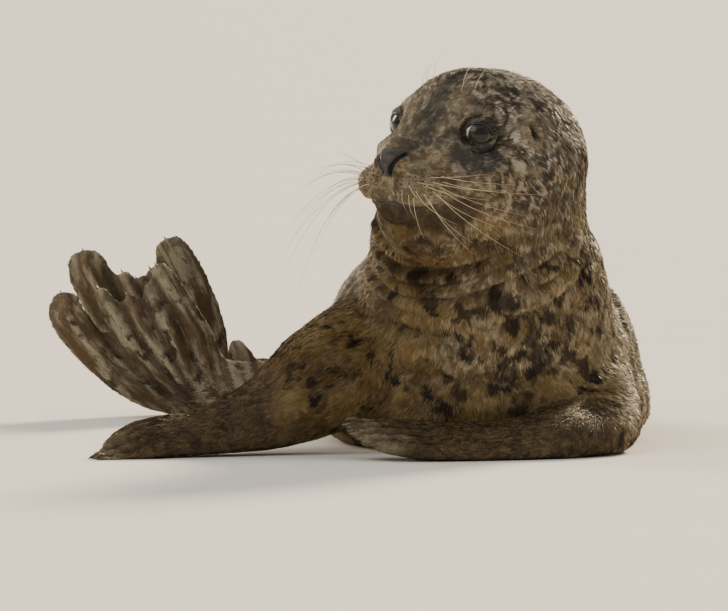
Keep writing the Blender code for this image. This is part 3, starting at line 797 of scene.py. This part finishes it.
cloud_cover = maths(marks_and_shade, "MULTIPLY_ADD", dorsal_in, -0.075, 0.572)
clouds = mapped(marks_and_shade, maths(marks_and_shade, "SUBTRACT", coarse_mottle, cloud_cover), 0.0, 0.045)
dapples = mapped(marks_and_shade, head_mottle, 0.485, 0.535)
clouds = without(clouds, fine_in, 1.0)
clouds = maths(marks_and_shade, "MAXIMUM", clouds, times(dapples, fine_in))
round_spots = without(maths(marks_and_shade, "MAXIMUM", big, middling), fine_in, 0.85)
dark = maths(marks_and_shade, "MAXIMUM", times(clouds, 0.88), without(round_spots, hind_in, 1.0))
toe_marks = times(mapped(marks_and_shade, noise(60.0, 3.0, 4.4), 0.50, 0.58), mapped(marks_and_shade, digit_streaks, 0.42, 0.56))
dark = maths(marks_and_shade, "MAXIMUM", without(dark, hind_in, 1.0), times(toe_marks, hind_in))
dark = times(dark, mapped(marks_and_shade, fine, 0.20, 0.42))
dark = without(without(dark, fore_in, 0.55), pale_in, 0.75)
blackish = blended(marks_and_shade, fine_in, (0.018, 0.011, 0.005), (0.027, 0.020, 0.016))
blackish = blended(marks_and_shade, hind_in, blackish, (0.066, 0.042, 0.026))
coat_colour = blended(marks_and_shade, dark, ground, blackish)
patch_share = times(patch_in, maths(marks_and_shade, "SUBTRACT", 1.0, times(mapped(marks_and_shade, streaks, 0.52, 0.66), 0.55)))
coat_colour = blended(marks_and_shade, times(patch_share, 0.92), coat_colour, (0.044, 0.044, 0.047))
# Painted shade, dark brown, under the lip, in the cleft and along the folds and furrows.
coat_colour = blended(marks_and_shade, times(shade_in, 0.80), coat_colour, (0.040, 0.024, 0.011))
bare_colour = blended(marks_and_shade, fine, (0.016, 0.015, 0.015), (0.060, 0.056, 0.053))
coat_colour = blended(marks_and_shade, bare_in, coat_colour, bare_colour)
marks_and_shade.links.new(coat_colour, result.inputs["Color"])
marks_and_shade.links.new(bare_in, result.inputs["Bare"])


def marked_material(title):
    """A material with the group that gives the seal's markings and painted shade at the hair's root."""
    material, tree, shader = new_material(title)
    group = node(tree, "ShaderNodeGroup", {"node_tree": marks_and_shade})
    feed(tree, group.inputs["Root"], stored(tree, "root", "Vector"))
    feed(tree, group.inputs["Zones"], stored(tree, "zones", "Color"))
    feed(tree, group.inputs["Zones 2"], stored(tree, "zones_2", "Color"))
    return material, tree, shader, group


hide, tree, shader, group = marked_material("seal_hide")
# The hide is painted darker and cooler than the hair: painted shade for skin lying beneath the coat, which
# also darkens the bare nose, lids and lips.
HIDE_SHADE_TINT = (0.5, 0.44, 0.38)
shaded_hide_tone = blended(tree, 0.55, group.outputs["Color"], HIDE_SHADE_TINT, "MULTIPLY")
rough = mapped(tree, group.outputs["Bare"], 0.0, 1.0, To_Min=0.75, To_Max=0.36)
place_in = node(tree, "ShaderNodeTexCoord").outputs["Object"]
grain = node(tree, "ShaderNodeTexVoronoi", {"feature": "SMOOTH_F1"}, Vector=place_in, Scale=700.0)
bump = node(tree, "ShaderNodeBump", Strength=0.5, Distance=0.0006, Height=grain.outputs["Distance"])
surface(tree, shader, shaded_hide_tone, Roughness=rough, Normal=bump.outputs["Normal"])
skin.data.materials.clear()
skin.data.materials.append(hide)
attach(skin, "root")
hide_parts(*FLESH)

# ------------------------------------------------------------------------------------------------ coat
# Short, flat, stiff hair in overlapping tufts, each rooted in the skin and lying back along the body.
# It is finest on the face and the flippers, and only a few hairs stand up from the outline.


def placed(title, data):
    """A new object in the scene."""
    obj = bpy.data.objects.new(title, data)
    bpy.context.scene.collection.objects.link(obj)
    return obj


COAT_SEED = 11
HAIR_LOWEST = 0.15 * MM
HAIR_SUNK = 0.3 * MM
SKIN_TRIANGLES = 192000
# Which piece of the coat covers each point of the skin, from the strand of the lie that the point follows.
region = np.full(len(places), 2)
spine_owner = owner == 0
region[owner == len(claims) - 1] = 0
region[spine_owner & (places[:, 2] > 0.19) & (places[:, 1] < -0.1)] = 1
region[spine_owner & (places[:, 1] > 0.03)] = 4
region[spine_owner & (places[:, 1] > -0.16) & (places[:, 1] <= 0.03)] = 3
region[(region == 2) & (facing[:, 1] > -0.15)] = 7
region[(owner == 1) | (owner == 2)] = 5
region[(owner >= 3) & (owner <= len(claims) - 2)] = 6
# Each piece of the coat: its region of the skin, its number of tufts and a slot name.
COATS = {
    "coat_head": (0, 98000, "coat"),
    "coat_neck": (1, 76000, "coat"),
    "coat_chest": (2, 98000, "coat"),
    "coat_shoulders": (7, 80000, "coat"),
    "coat_ribs": (3, 82000, "coat"),
    "coat_back": (4, 84000, "coat"),
    "coat_fore_flippers": (5, 88000, "flipper"),
    "coat_hind_flippers": (6, 90000, "flipper"),
}
hair_long = 8.6 - 3.6 * fore_mask - 4.4 * hind_mask - 5.0 * face_mask
hair_long -= 1.8 * ease(0.4, 0.9, head_part) * (1 - face_mask)
hair_wide = 1.25 - 0.40 * limbs - 0.50 * face_mask
hair_long *= 1 - 0.6 * bell(ear_off, 12) * (1 - face_mask)
hair_long -= 1.4 * fall(10, 30, tip_off) * hind_mask
crowd = 1 + 1.5 * face_mask
# The hair parts and swirls in slow waves, and stands a little where it does.
swirl = wander(places, 0.055, 61) * (1 - face_mask) * (1 - limbs)
ruffle = ease(0.1, 0.9, wander(places, 0.035, 62)) * (1 - face_mask) * (1 - limbs)
crowd *= fall(0.25, 0.6, bare)
underneath = ease(0.85, 0.98, -normals[:, 2]) * fall(4, 10, places[:, 2] / MM)
crowd *= ease(0.5, 1.2, places[:, 2] / MM) * (1 - 0.9 * underneath)

skin.data.calc_loop_triangles()
corners = np.empty(len(skin.data.loop_triangles) * 3, np.int64)
skin.data.loop_triangles.foreach_get("vertices", corners)
corners = corners.reshape(-1, 3)
edge_1 = places[corners[:, 1]] - places[corners[:, 0]]
edge_2 = places[corners[:, 2]] - places[corners[:, 0]]
area = np.linalg.norm(np.cross(edge_1, edge_2), axis=1) / 2 * crowd[corners].mean(axis=1)
corner_region = region[corners[:, 0]]

hair, tree, shader, group = marked_material("seal_coat")
toned = blended(tree, 1.0, group.outputs["Color"], stored(tree, "tone", "Color"), "MULTIPLY")
surface(tree, shader, toned, Roughness=0.5, Specular_IOR_Level=0.30)

for title, (code, count, slot) in COATS.items():
    draw = np.random.default_rng(COAT_SEED + code)
    chance = np.where(corner_region == code, area, 0)
    picked = draw.choice(len(corners), count, p=chance / chance.sum())
    first, second = draw.random(count), draw.random(count)
    over = first + second > 1
    first[over], second[over] = 1 - first[over], 1 - second[over]
    shares = np.stack([1 - first - second, first, second], axis=1)

    def at_root(field):
        return np.einsum("ij,ij...->i...", shares, field[corners[picked]])

    root, normal, flow = at_root(places), unit(at_root(normals)), at_root(lie)
    flow = unit(flow - normal * np.einsum("ij,ij->i", flow, normal)[:, None])
    across = np.cross(normal, flow)
    turn = draw.normal(0, 0.15, count) + 0.34 * at_root(swirl)
    flow, across = (
        flow * np.cos(turn)[:, None] + across * np.sin(turn)[:, None],
        across * np.cos(turn)[:, None] - flow * np.sin(turn)[:, None],
    )
    roll = draw.normal(0, 0.24, count)
    across = across * np.cos(roll)[:, None] + normal * np.sin(roll)[:, None]
    length = at_root(hair_long) * draw.uniform(0.7, 1.2, count) * MM
    width = at_root(hair_wide) * draw.uniform(0.7, 1.2, count) * MM / 2
    lift = np.radians(draw.uniform(5, 13, count) + 12 * (draw.random(count) < 0.04) + 7 * at_root(ruffle))
    lift *= at_root(1 - 0.3 * face_mask - 0.4 * limbs)
    ahead = flow * (length * np.cos(lift))[:, None]
    rise = normal * (length * np.sin(lift))[:, None]
    base = root - normal * HAIR_SUNK
    middle = root + 0.42 * ahead + 0.56 * rise
    tip = root + ahead + 0.8 * rise
    points = np.stack([base, middle - across * width[:, None], tip, middle + across * width[:, None]], axis=1)
    points[:, :, 2] = np.maximum(points[:, :, 2], HAIR_LOWEST)
    mesh = bpy.data.meshes.new(title)
    mesh.vertices.add(count * 4)
    mesh.vertices.foreach_set("co", points.astype(np.float32).ravel())
    mesh.loops.add(count * 4)
    mesh.loops.foreach_set("vertex_index", np.arange(count * 4, dtype=np.int32))
    mesh.polygons.add(count)
    mesh.polygons.foreach_set("loop_start", np.arange(0, count * 4, 4, dtype=np.int32))
    mesh.polygons.foreach_set("use_smooth", np.ones(count, bool))
    mesh.update(calc_edges=True)

    for field, values in skin_fields.items():
        keep(mesh, field, "color", np.repeat(at_root(values), 4, axis=0))
    for field, values in (("root", root), ("digit_place", at_root(digit_place))):
        keep(mesh, field, "vector", np.repeat(values, 4, axis=0))
    # Each tuft has a tone of its own, darker at its root and warmer or cooler than its neighbours.
    bright = draw.uniform(0.78, 1.22, count)[:, None] * np.array((0.60, 0.95, 1.20, 0.95))
    warm = draw.uniform(-0.05, 0.05, count)[:, None]
    tones = np.stack([bright * (1 + warm), bright, bright * (1 - 1.5 * warm), np.ones_like(bright)], axis=2)
    keep(mesh, "tone", "color", tones)

    # The bake's map: each tuft is a small patch at its root's place on the body unrolled about its own line.
    if code == 0:
        spread = (root - HEAD_CENTRE) @ HEAD_TURN
        around = np.arctan2(spread[:, 1], spread[:, 2])
        along = np.arccos(np.clip(unit(spread)[:, 0], -1, 1))
    else:
        chosen = {5: (RIGHT_ARM, LEFT_ARM), 6: (RIGHT_HEEL, LEFT_HEEL)}.get(code, (SPINE,))
        around, along = np.zeros(count), np.zeros(count)
        nearest = np.full(count, 1e9)
        for place_on, limb in enumerate(chosen):
            run = 0.0
            for (a, _), (b, _) in zip(limb, limb[1:]):
                a, b = np.array(a), np.array(b)
                off, share = beside(root, a, b)
                axis = unit(b - a)
                side_way = unit(np.cross(axis, (0.3, 0.2, 0.9)))
                rel = root - a
                closer = off < nearest
                nearest = np.where(closer, off, nearest)
                angle = np.arctan2(rel @ np.cross(axis, side_way), rel @ side_way)
                around = np.where(closer, (angle + 2 * math.pi * place_on) / len(chosen), around)
                reach_on = rel @ axis
                if code != 6:
                    reach_on = np.clip(reach_on, -0.05, np.linalg.norm(b - a) + 0.05)
                along = np.where(closer, run + reach_on, along)
                run += np.linalg.norm(b - a)
    u = (around - around.min()) / (np.ptp(around) + 1e-9) * 0.99 + 0.003
    v = (along - along.min()) / (np.ptp(along) + 1e-9) * 0.99 + 0.003
    corner_u = np.array((0.0, -1.5, 0.0, 1.5)) * MM
    corner_v = np.array((-1.5, -0.2, 1.5, -0.2)) * MM
    flat = np.stack([u[:, None] + corner_u, v[:, None] + corner_v], axis=2)
    bake_map = mesh.uv_layers.new(name="OFBake")
    bake_map.data.foreach_set("uv", flat.astype(np.float32).ravel())
    mesh.materials.append(hair)
    coat = placed(title, mesh)
    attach(coat, "root")

# The coat is rooted in the fine skin above, and a piece may have 200,000 triangles, so the skin that is
# kept is thinned where it is plain.
thinned = skin.modifiers.new("thinned", "DECIMATE")
thinned.ratio = SKIN_TRIANGLES / len(corners)
select_only(skin)
bpy.ops.object.modifier_apply(modifier=thinned.name)
kept_roots = places_of(skin.data).astype(np.float32)
skin.data.attributes["root"].data.foreach_set("vector", kept_roots.ravel())

# ------------------------------------------------------------------------------------------------ eyes
# Large dark eyes: a wet ball with a slightly bulging window, a brown-grey iris and a black pupil.
# The white shows only in the front corner, because the seal looks round towards the viewer.

GAZE = {"left_eye": (0.64, 0.76, 0.08), "right_eye": (0.995, -0.05, 0.02)}
IRIS_EDGE = math.radians(47)
PUPIL_EDGE = 0.45
PUPIL_BLACK = (0.006, 0.005, 0.005)


def eye_material():
    material, tree, shader = new_material("seal_eye")
    # The mesh keeps each point's angle from the gaze, and its angle round it.
    gaze_place = stored(tree, "gaze", "Vector")
    off_gaze, round_gaze, _ = node(tree, "ShaderNodeSeparateXYZ", Vector=gaze_place).outputs
    across, out = maths(tree, "MULTIPLY", round_gaze, 9.0), maths(tree, "MULTIPLY", off_gaze, 3.0)
    stretched = node(tree, "ShaderNodeCombineXYZ", X=across, Y=out).outputs[0]
    flat = {"noise_dimensions": "2D"}
    rays = node(tree, "ShaderNodeTexNoise", flat, Vector=stretched, Scale=1.0, Detail=3.0).outputs["Fac"]
    iris = blended(tree, rays, (0.014, 0.010, 0.008), (0.052, 0.038, 0.030))
    pupil = mapped(tree, off_gaze, PUPIL_EDGE - 0.05, PUPIL_EDGE + 0.05)
    colour = blended(tree, pupil, PUPIL_BLACK, iris)
    ring = mapped(tree, off_gaze, IRIS_EDGE - 0.09, IRIS_EDGE - 0.02)
    colour = blended(tree, ring, colour, PUPIL_BLACK)
    veins = mapped(tree, grained(tree, 420.0, 4.0, Distortion=1.5), 0.55, 0.75)
    white = blended(tree, veins, (0.80, 0.76, 0.71), (0.58, 0.41, 0.35))
    outside = mapped(tree, off_gaze, IRIS_EDGE - 0.015, IRIS_EDGE + 0.035)
    colour = blended(tree, outside, colour, white)
    wetness = {"Coat_Weight": 0.45, "Coat_IOR": 1.38, "Coat_Roughness": 0.06}
    surface(tree, shader, colour, Roughness=0.24, IOR=1.34, **wetness)
    return material


wet = eye_material()
for name, (centre, out, front, up) in eye_frames.items():
    bpy.ops.object.select_all(action="DESELECT")
    bpy.ops.mesh.primitive_uv_sphere_add(segments=96, ring_count=64, radius=1.0, location=(0, 0, 0))
    ball = bpy.context.object
    ball.name = ball.data.name = name.replace("_eye", "_eyeball")
    local = places_of(ball.data)
    gaze = unit(np.array(GAZE[name]))
    side_way = unit(np.cross((0, 0, 1), gaze))
    high_way = np.cross(gaze, side_way)
    # The sphere's pole looks along the gaze, so that its rings run round the iris.
    turned = local[:, 2:3] * gaze + local[:, 0:1] * side_way + local[:, 1:2] * high_way
    angle = np.arccos(np.clip(local[:, 2], -1, 1))
    around = np.arctan2(local[:, 1], local[:, 0])
    bulge = 1 + 0.035 * fall(0.1, 0.8, angle)
    middle = np.array(HEAD @ Vector(centre))
    put_places(ball.data, middle + (turned * (bulge * EYE_RADIUS)[:, None]) @ HEAD_AXES.T)
    keep(ball.data, "gaze", "vector", np.stack([angle, around, np.zeros_like(angle)], axis=1))
    smooth_faces(ball.data)
    ball.data.materials.append(wet)
    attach(ball, "root")
    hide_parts(name)

# ------------------------------------------------------------------------------------------------ lids
# The bare black edge of each eyelid, a moist rounded rim of hide that rests on the ball. It is one thin
# closed tube, drawn along the almond of the opening.

rim_black, tree, shader = new_material("lid_rim")
speckle = blended(tree, grained(tree, 600.0, 3.0), (0.008, 0.007, 0.007), (0.030, 0.026, 0.024))
surface(tree, shader, speckle, Roughness=0.32)
RIM_STEPS, RIM_SIDES = 72, 10


def tube_faces(ring_count, sides, closed, first=0):
    """The faces of a tube of rings, joined to its own start or with a face over each end."""
    faces = []
    for i in range(ring_count if closed else ring_count - 1):
        here = first + i * sides
        after = first + (i + 1) % ring_count * sides
        for k in range(sides):
            over = (k + 1) % sides
            faces.append((here + k, here + over, after + over, after + k))
    if not closed:
        faces.append(tuple(range(first, first + sides)))
        faces.append(tuple(range(first + (ring_count - 1) * sides, first + ring_count * sides)))
    return faces


def smooth_piece(title, points, faces, material):
    """A new piece from points and faces, shaded smooth."""
    mesh = bpy.data.meshes.new(title)
    mesh.from_pydata([tuple(point) for point in points], [], faces)
    smooth_faces(mesh)
    mesh.materials.append(material)
    return placed(title, mesh)


def face_outwards(piece):
    """Turns every face of a closed piece to its outside."""
    select_only(piece)
    bpy.ops.object.mode_set(mode="EDIT")
    bpy.ops.mesh.select_all(action="SELECT")
    bpy.ops.mesh.normals_make_consistent(inside=False)
    bpy.ops.object.mode_set(mode="OBJECT")


for name, (centre, out, front, up) in eye_frames.items():
    middle = np.array(HEAD @ Vector(centre))
    angles = np.linspace(0, 2 * math.pi, RIM_STEPS, endpoint=False)
    fore = LIDS_LONG * np.sign(np.cos(angles)) * np.abs(np.cos(angles)) ** 0.9
    lean = np.clip(fore / LIDS_LONG, -1, 1)
    taper = np.clip(1 - lean**2, 0, 1) ** 0.62
    rise = np.where(np.sin(angles) >= 0, (0.98 + 0.05 * lean), -0.98) * taper * LIDS_TALL
    ahead = np.sqrt(np.maximum((EYE_RADIUS + 0.9) ** 2 - fore**2 - rise**2, 1))
    path = ahead[:, None] * out + fore[:, None] * front + rise[:, None] * up
    way = unit(np.roll(path, -1, axis=0) - np.roll(path, 1, axis=0))
    outward = unit(path)
    inward = np.cross(way, outward)
    thick = 1.15 + 0.25 * (rise > 0) - 0.35 * np.abs(lean) ** 4
    spokes = np.linspace(0, 2 * math.pi, RIM_SIDES, endpoint=False)
    rings = path[:, None] + (
        outward[:, None] * np.cos(spokes)[None, :, None] + inward[:, None] * np.sin(spokes)[None, :, None]
    ) * thick[:, None, None]
    points = middle + rings.reshape(-1, 3) @ HEAD_AXES.T
    faces = tube_faces(RIM_STEPS, RIM_SIDES, True)
    lids = smooth_piece(name.replace("_eye", "_lids"), points, faces, rim_black)
    face_outwards(lids)
    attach(lids, "root")

# ------------------------------------------------------------------------------------------------ claws
# Curved, pointed claws of dark horn, one on every digit, strong on the fore flippers and small on the hind.
# Each is a row of shrinking rings that starts inside its digit and bends down to a point.

horn, tree, shader = new_material("claw_horn")
clouded = grained(tree, 260.0, 3.0)
horn_tone = blended(tree, mapped(tree, clouded, 0.35, 0.65), (0.045, 0.033, 0.022), (0.150, 0.112, 0.072))
ridges = node(tree, "ShaderNodeBump", Strength=0.3, Distance=0.0003, Height=clouded)
surface(tree, shader, horn_tone, Roughness=0.34, Normal=ridges.outputs["Normal"])
CLAW_SIDES, CLAW_RINGS = 12, 9
CLAW_NARROW = 0.72

for flipper in DIGITS:
    claw, lines = claw_lines(flipper)
    points, faces = [], []
    for base, along, up in lines:
        side = np.cross(along, up)
        first = len(points)
        for step in range(CLAW_RINGS):
            share = step / (CLAW_RINGS - 1)
            size = claw["radius"] * (1 - share**1.7) ** 0.8 + 0.05
            core = base + (along * claw["length"] * share - up * claw["radius"] * share**2) * MM
            for k in range(CLAW_SIDES):
                angle = 2 * math.pi * k / CLAW_SIDES
                spoke = side * math.cos(angle) * CLAW_NARROW + up * math.sin(angle)
                points.append(core + spoke * size * MM)
        faces += tube_faces(CLAW_RINGS, CLAW_SIDES, False, first)
    claws = smooth_piece(f"{flipper}_claws", points, faces, horn)
    face_outwards(claws)
    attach(claws, "root")

# ------------------------------------------------------------------------------------------------ whiskers
# Stiff, pale, slightly beaded bristles of horn, in six rows on each side of the muzzle and three over each
# eye. Each tapers from its root on the skin and bends on its way out.

straw, tree, shader = new_material("whisker_straw")
straw_tone = blended(tree, grained(tree, 60.0, 2.0), (0.44, 0.34, 0.18), (0.78, 0.68, 0.46))
surface(tree, shader, straw_tone, Roughness=0.35)
WHISKER_STEPS, WHISKER_SIDES = 16, 5
skin_tree = BVHTree.FromPolygons(places.tolist(), corners.tolist())
draw = np.random.default_rng(23)
points, faces = [], []


def bristle(root, way, droop, length, thick):
    """A tapering, beaded bristle that leaves its root along way and bends towards droop."""
    first = len(points)
    root, way, droop = np.array(root), unit(np.array(way)), np.array(droop)
    for step in range(WHISKER_STEPS):
        share = step / (WHISKER_STEPS - 1)
        core = root + (way * (share - 0.02) + droop * share**2) * length
        direction = unit(way + 2 * droop * share)
        side = unit(np.cross(direction, (0.2, 0.1, 1.0)))
        over = np.cross(direction, side)
        size = thick * (1 - share) ** 0.8 * (1 + 0.12 * math.sin(step * 2.6)) + 0.05 * MM
        for k in range(WHISKER_SIDES):
            angle = 2 * math.pi * k / WHISKER_SIDES
            points.append(core + (side * math.cos(angle) + over * math.sin(angle)) * size)
    faces.extend(tube_faces(WHISKER_STEPS, WHISKER_SIDES, False, first))


ROWS, COLUMNS = 6, 9
# The long whiskers by row and column of their roots on the pad, and their length in millimetres.
LONG = {
    (0, 5): 58, (0, 7): 70, (1, 3): 52, (1, 5): 78, (1, 7): 88, (2, 2): 46,
    (2, 4): 74, (2, 6): 96, (3, 1): 34, (3, 3): 66, (3, 5): 92, (3, 7): 98,
    (4, 2): 42, (4, 4): 80, (4, 6): 96, (5, 3): 50, (5, 5): 72,
}
# The roots lie where rays from outside the muzzle, towards the middle of its front, meet the skin.
MUZZLE_MIDDLE, OUTSIDE = -45, 80
# Which way the top and bottom rows sweep on each side: back, outwards and down. The muzzle's right side
# carries them forward and up, its left side back and down along the cheek.
SWEEP = {1: ((0.40, 0.75, 0.58), (0.16, 0.42, 1.15)), -1: ((0.05, 0.97, -0.18), (0.00, 0.85, 0.38))}
# The brow hairs' roots, forward and left of the nose's tip, and their length.
BROW_HAIRS = ((-84, 24, 30), (-93, 19, 35), (-98, 31, 31))
follicles = []
for side in (1, -1):
    for row in range(ROWS):
        for column in range(COLUMNS - (row in (0, ROWS - 1))):
            turn = math.radians(19 + 8.8 * column + draw.uniform(-1.9, 1.9))
            z = -17 - 4.2 * row + 0.5 * column + draw.uniform(-0.8, 0.8)
            ahead, aside = MUZZLE_MIDDLE + OUTSIDE * math.cos(turn), side * OUTSIDE * math.sin(turn)
            guess = HEAD @ Vector((ahead, aside, z))
            toward = (HEAD @ Vector((MUZZLE_MIDDLE, 0, z)) - guess).normalized()
            hit, normal, _, _ = skin_tree.ray_cast(guess, toward)
            if hit is None:
                continue
            follicles.append((np.array(hit), np.array(normal)))
            if (row, column) not in LONG:
                continue
            top, bottom = SWEEP[side]
            back, aside, down = np.array(top) + (np.array(bottom) - top) * row / (ROWS - 1)
            sweep = HEAD_TURN @ np.array((-back, side * aside, -down)) + draw.normal(0, 0.05, 3)
            way = np.array(normal) * 0.60 + unit(sweep) * 0.62
            bend = (-0.58, -0.10, 0.14 - 0.02 * row) if side > 0 else (-0.06, 0.05, -0.38 - 0.11 * row)
            droop = HEAD_TURN @ np.array(bend) + draw.normal(0, 0.06, 3)
            longer, thicker = (1.0, 1.0) if side > 0 else (0.86 + 0.07 * row, 1.2)
            length = LONG[row, column] * longer * draw.uniform(0.92, 1.06) * MM
            bristle(hit, way, droop, length, draw.uniform(0.28, 0.37) * thicker * MM)
for side in (1, -1):
    for x, y, length in BROW_HAIRS:
        guess = HEAD @ Vector((x, side * y, 130))
        toward = (HEAD @ Vector((x, side * y, 0)) - guess).normalized()
        hit, normal, _, _ = skin_tree.ray_cast(guess, toward)
        way = np.array(normal) * 0.5 + HEAD_TURN @ np.array((0.10, side * 0.06, 0.9))
        way = way + draw.normal(0, 0.10, 3)
        droop = HEAD_TURN @ np.array((-0.42, 0.12, -0.04)) + draw.normal(0, 0.08, 3)
        bristle(hit, way, droop, length * MM, 0.30 * MM)
whiskers = smooth_piece("whiskers", points, faces, straw)
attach(whiskers, "root")

# ------------------------------------------------------------------------------------------------ follicles
# The small dark mounds that the whiskers grow from, in rows over the pale pads of the muzzle. Each is
# three small rings of bare hide on the skin, closed at the top.

ROOT_RADIUS, ROOT_TALL, ROOT_SIDES = 0.92, 1.8, 9
points, faces = [], []
for spot, normal in follicles:
    aside = unit(np.cross(normal, (0.3, 0.2, 0.93)))
    over = np.cross(normal, aside)
    size = ROOT_RADIUS * draw.uniform(0.75, 1.15) * MM
    first = len(points)
    for share, height in ((1.0, -0.5), (0.8, 0.45), (0.35, 0.9)):
        for k in range(ROOT_SIDES):
            angle = 2 * math.pi * k / ROOT_SIDES
            ring = aside * math.cos(angle) + over * math.sin(angle)
            points.append(spot + ring * size * share + normal * height * ROOT_TALL * MM)
    faces.extend(tube_faces(3, ROOT_SIDES, False, first))
whisker_roots = smooth_piece("whisker_roots", points, faces, rim_black)
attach(whisker_roots, "root")

# ------------------------------------------------------------------------------------------------ studio
# A wide, plain, pale paper floor under a plain pale sky. Soft daylight comes from the front left, and low
# warm light from behind on both sides.

FLOOR_RADIUS = 220
bpy.ops.object.select_all(action="DESELECT")
bpy.ops.mesh.primitive_circle_add(vertices=96, radius=FLOOR_RADIUS, fill_type="NGON", location=(0, 0, 0))
floor = bpy.context.object
floor.name = floor.data.name = "studio_floor"
paper, tree, shader = new_material("studio_paper")
paper_tone = blended(tree, grained(tree, 3.0, 2.0), (0.82, 0.81, 0.79), (0.86, 0.85, 0.83))
surface(tree, shader, paper_tone, Roughness=0.9)
floor.data.materials.append(paper)

world = bpy.data.worlds.new("studio_air")
world.use_nodes = True
world.node_tree.nodes["Background"].inputs["Color"].default_value = (0.90, 0.87, 0.82, 1)
world.node_tree.nodes["Background"].inputs["Strength"].default_value = 0.55
bpy.context.scene.world = world


def lamp(title, position, aim, power, spread, colour):
    """A broad distant light of the given spread that shines from a position towards an aim."""
    data = bpy.data.lights.new(title, "SUN")
    data.energy = power
    data.color = colour
    data.angle = math.radians(spread)
    obj = placed(title, data)
    obj.location = position
    obj.rotation_euler = (Vector(aim) - Vector(position)).to_track_quat("-Z", "Y").to_euler()


lamp("key", (-1.9, -2.0, 2.7), (0.05, -0.3, 0.2), 0.80, 40, (1.0, 0.95, 0.86))
lamp("rim", (1.5, 2.7, 1.75), (0.08, -0.2, 0.25), 6.2, 14, (1.0, 0.80, 0.54))
lamp("rim_left", (-2.6, 1.9, 1.5), (-0.05, -0.2, 0.2), 1.7, 24, (1.0, 0.82, 0.58))

# ------------------------------------------------------------------------------------------------ camera
# A long lens from far off, so that head and flippers keep their true sizes. It stands a little above the
# seal's chest and looks slightly down.

AIM = Vector((0.0248, -0.3582, 0.1556))
RISE = math.radians(2.5)
AWAY = 8.0
VIEW_WIDTH = 0.750
camera_data = bpy.data.cameras.new("camera")
camera_data.sensor_width = 36
camera_data.lens = AWAY / VIEW_WIDTH * 36
camera_data.clip_end = 600
camera = placed("camera", camera_data)
back = Vector((0, -math.cos(RISE), math.sin(RISE)))
camera.location = AIM + back * AWAY
camera.rotation_euler = (-back).to_track_quat("-Z", "Y").to_euler()
bpy.context.scene.camera = camera
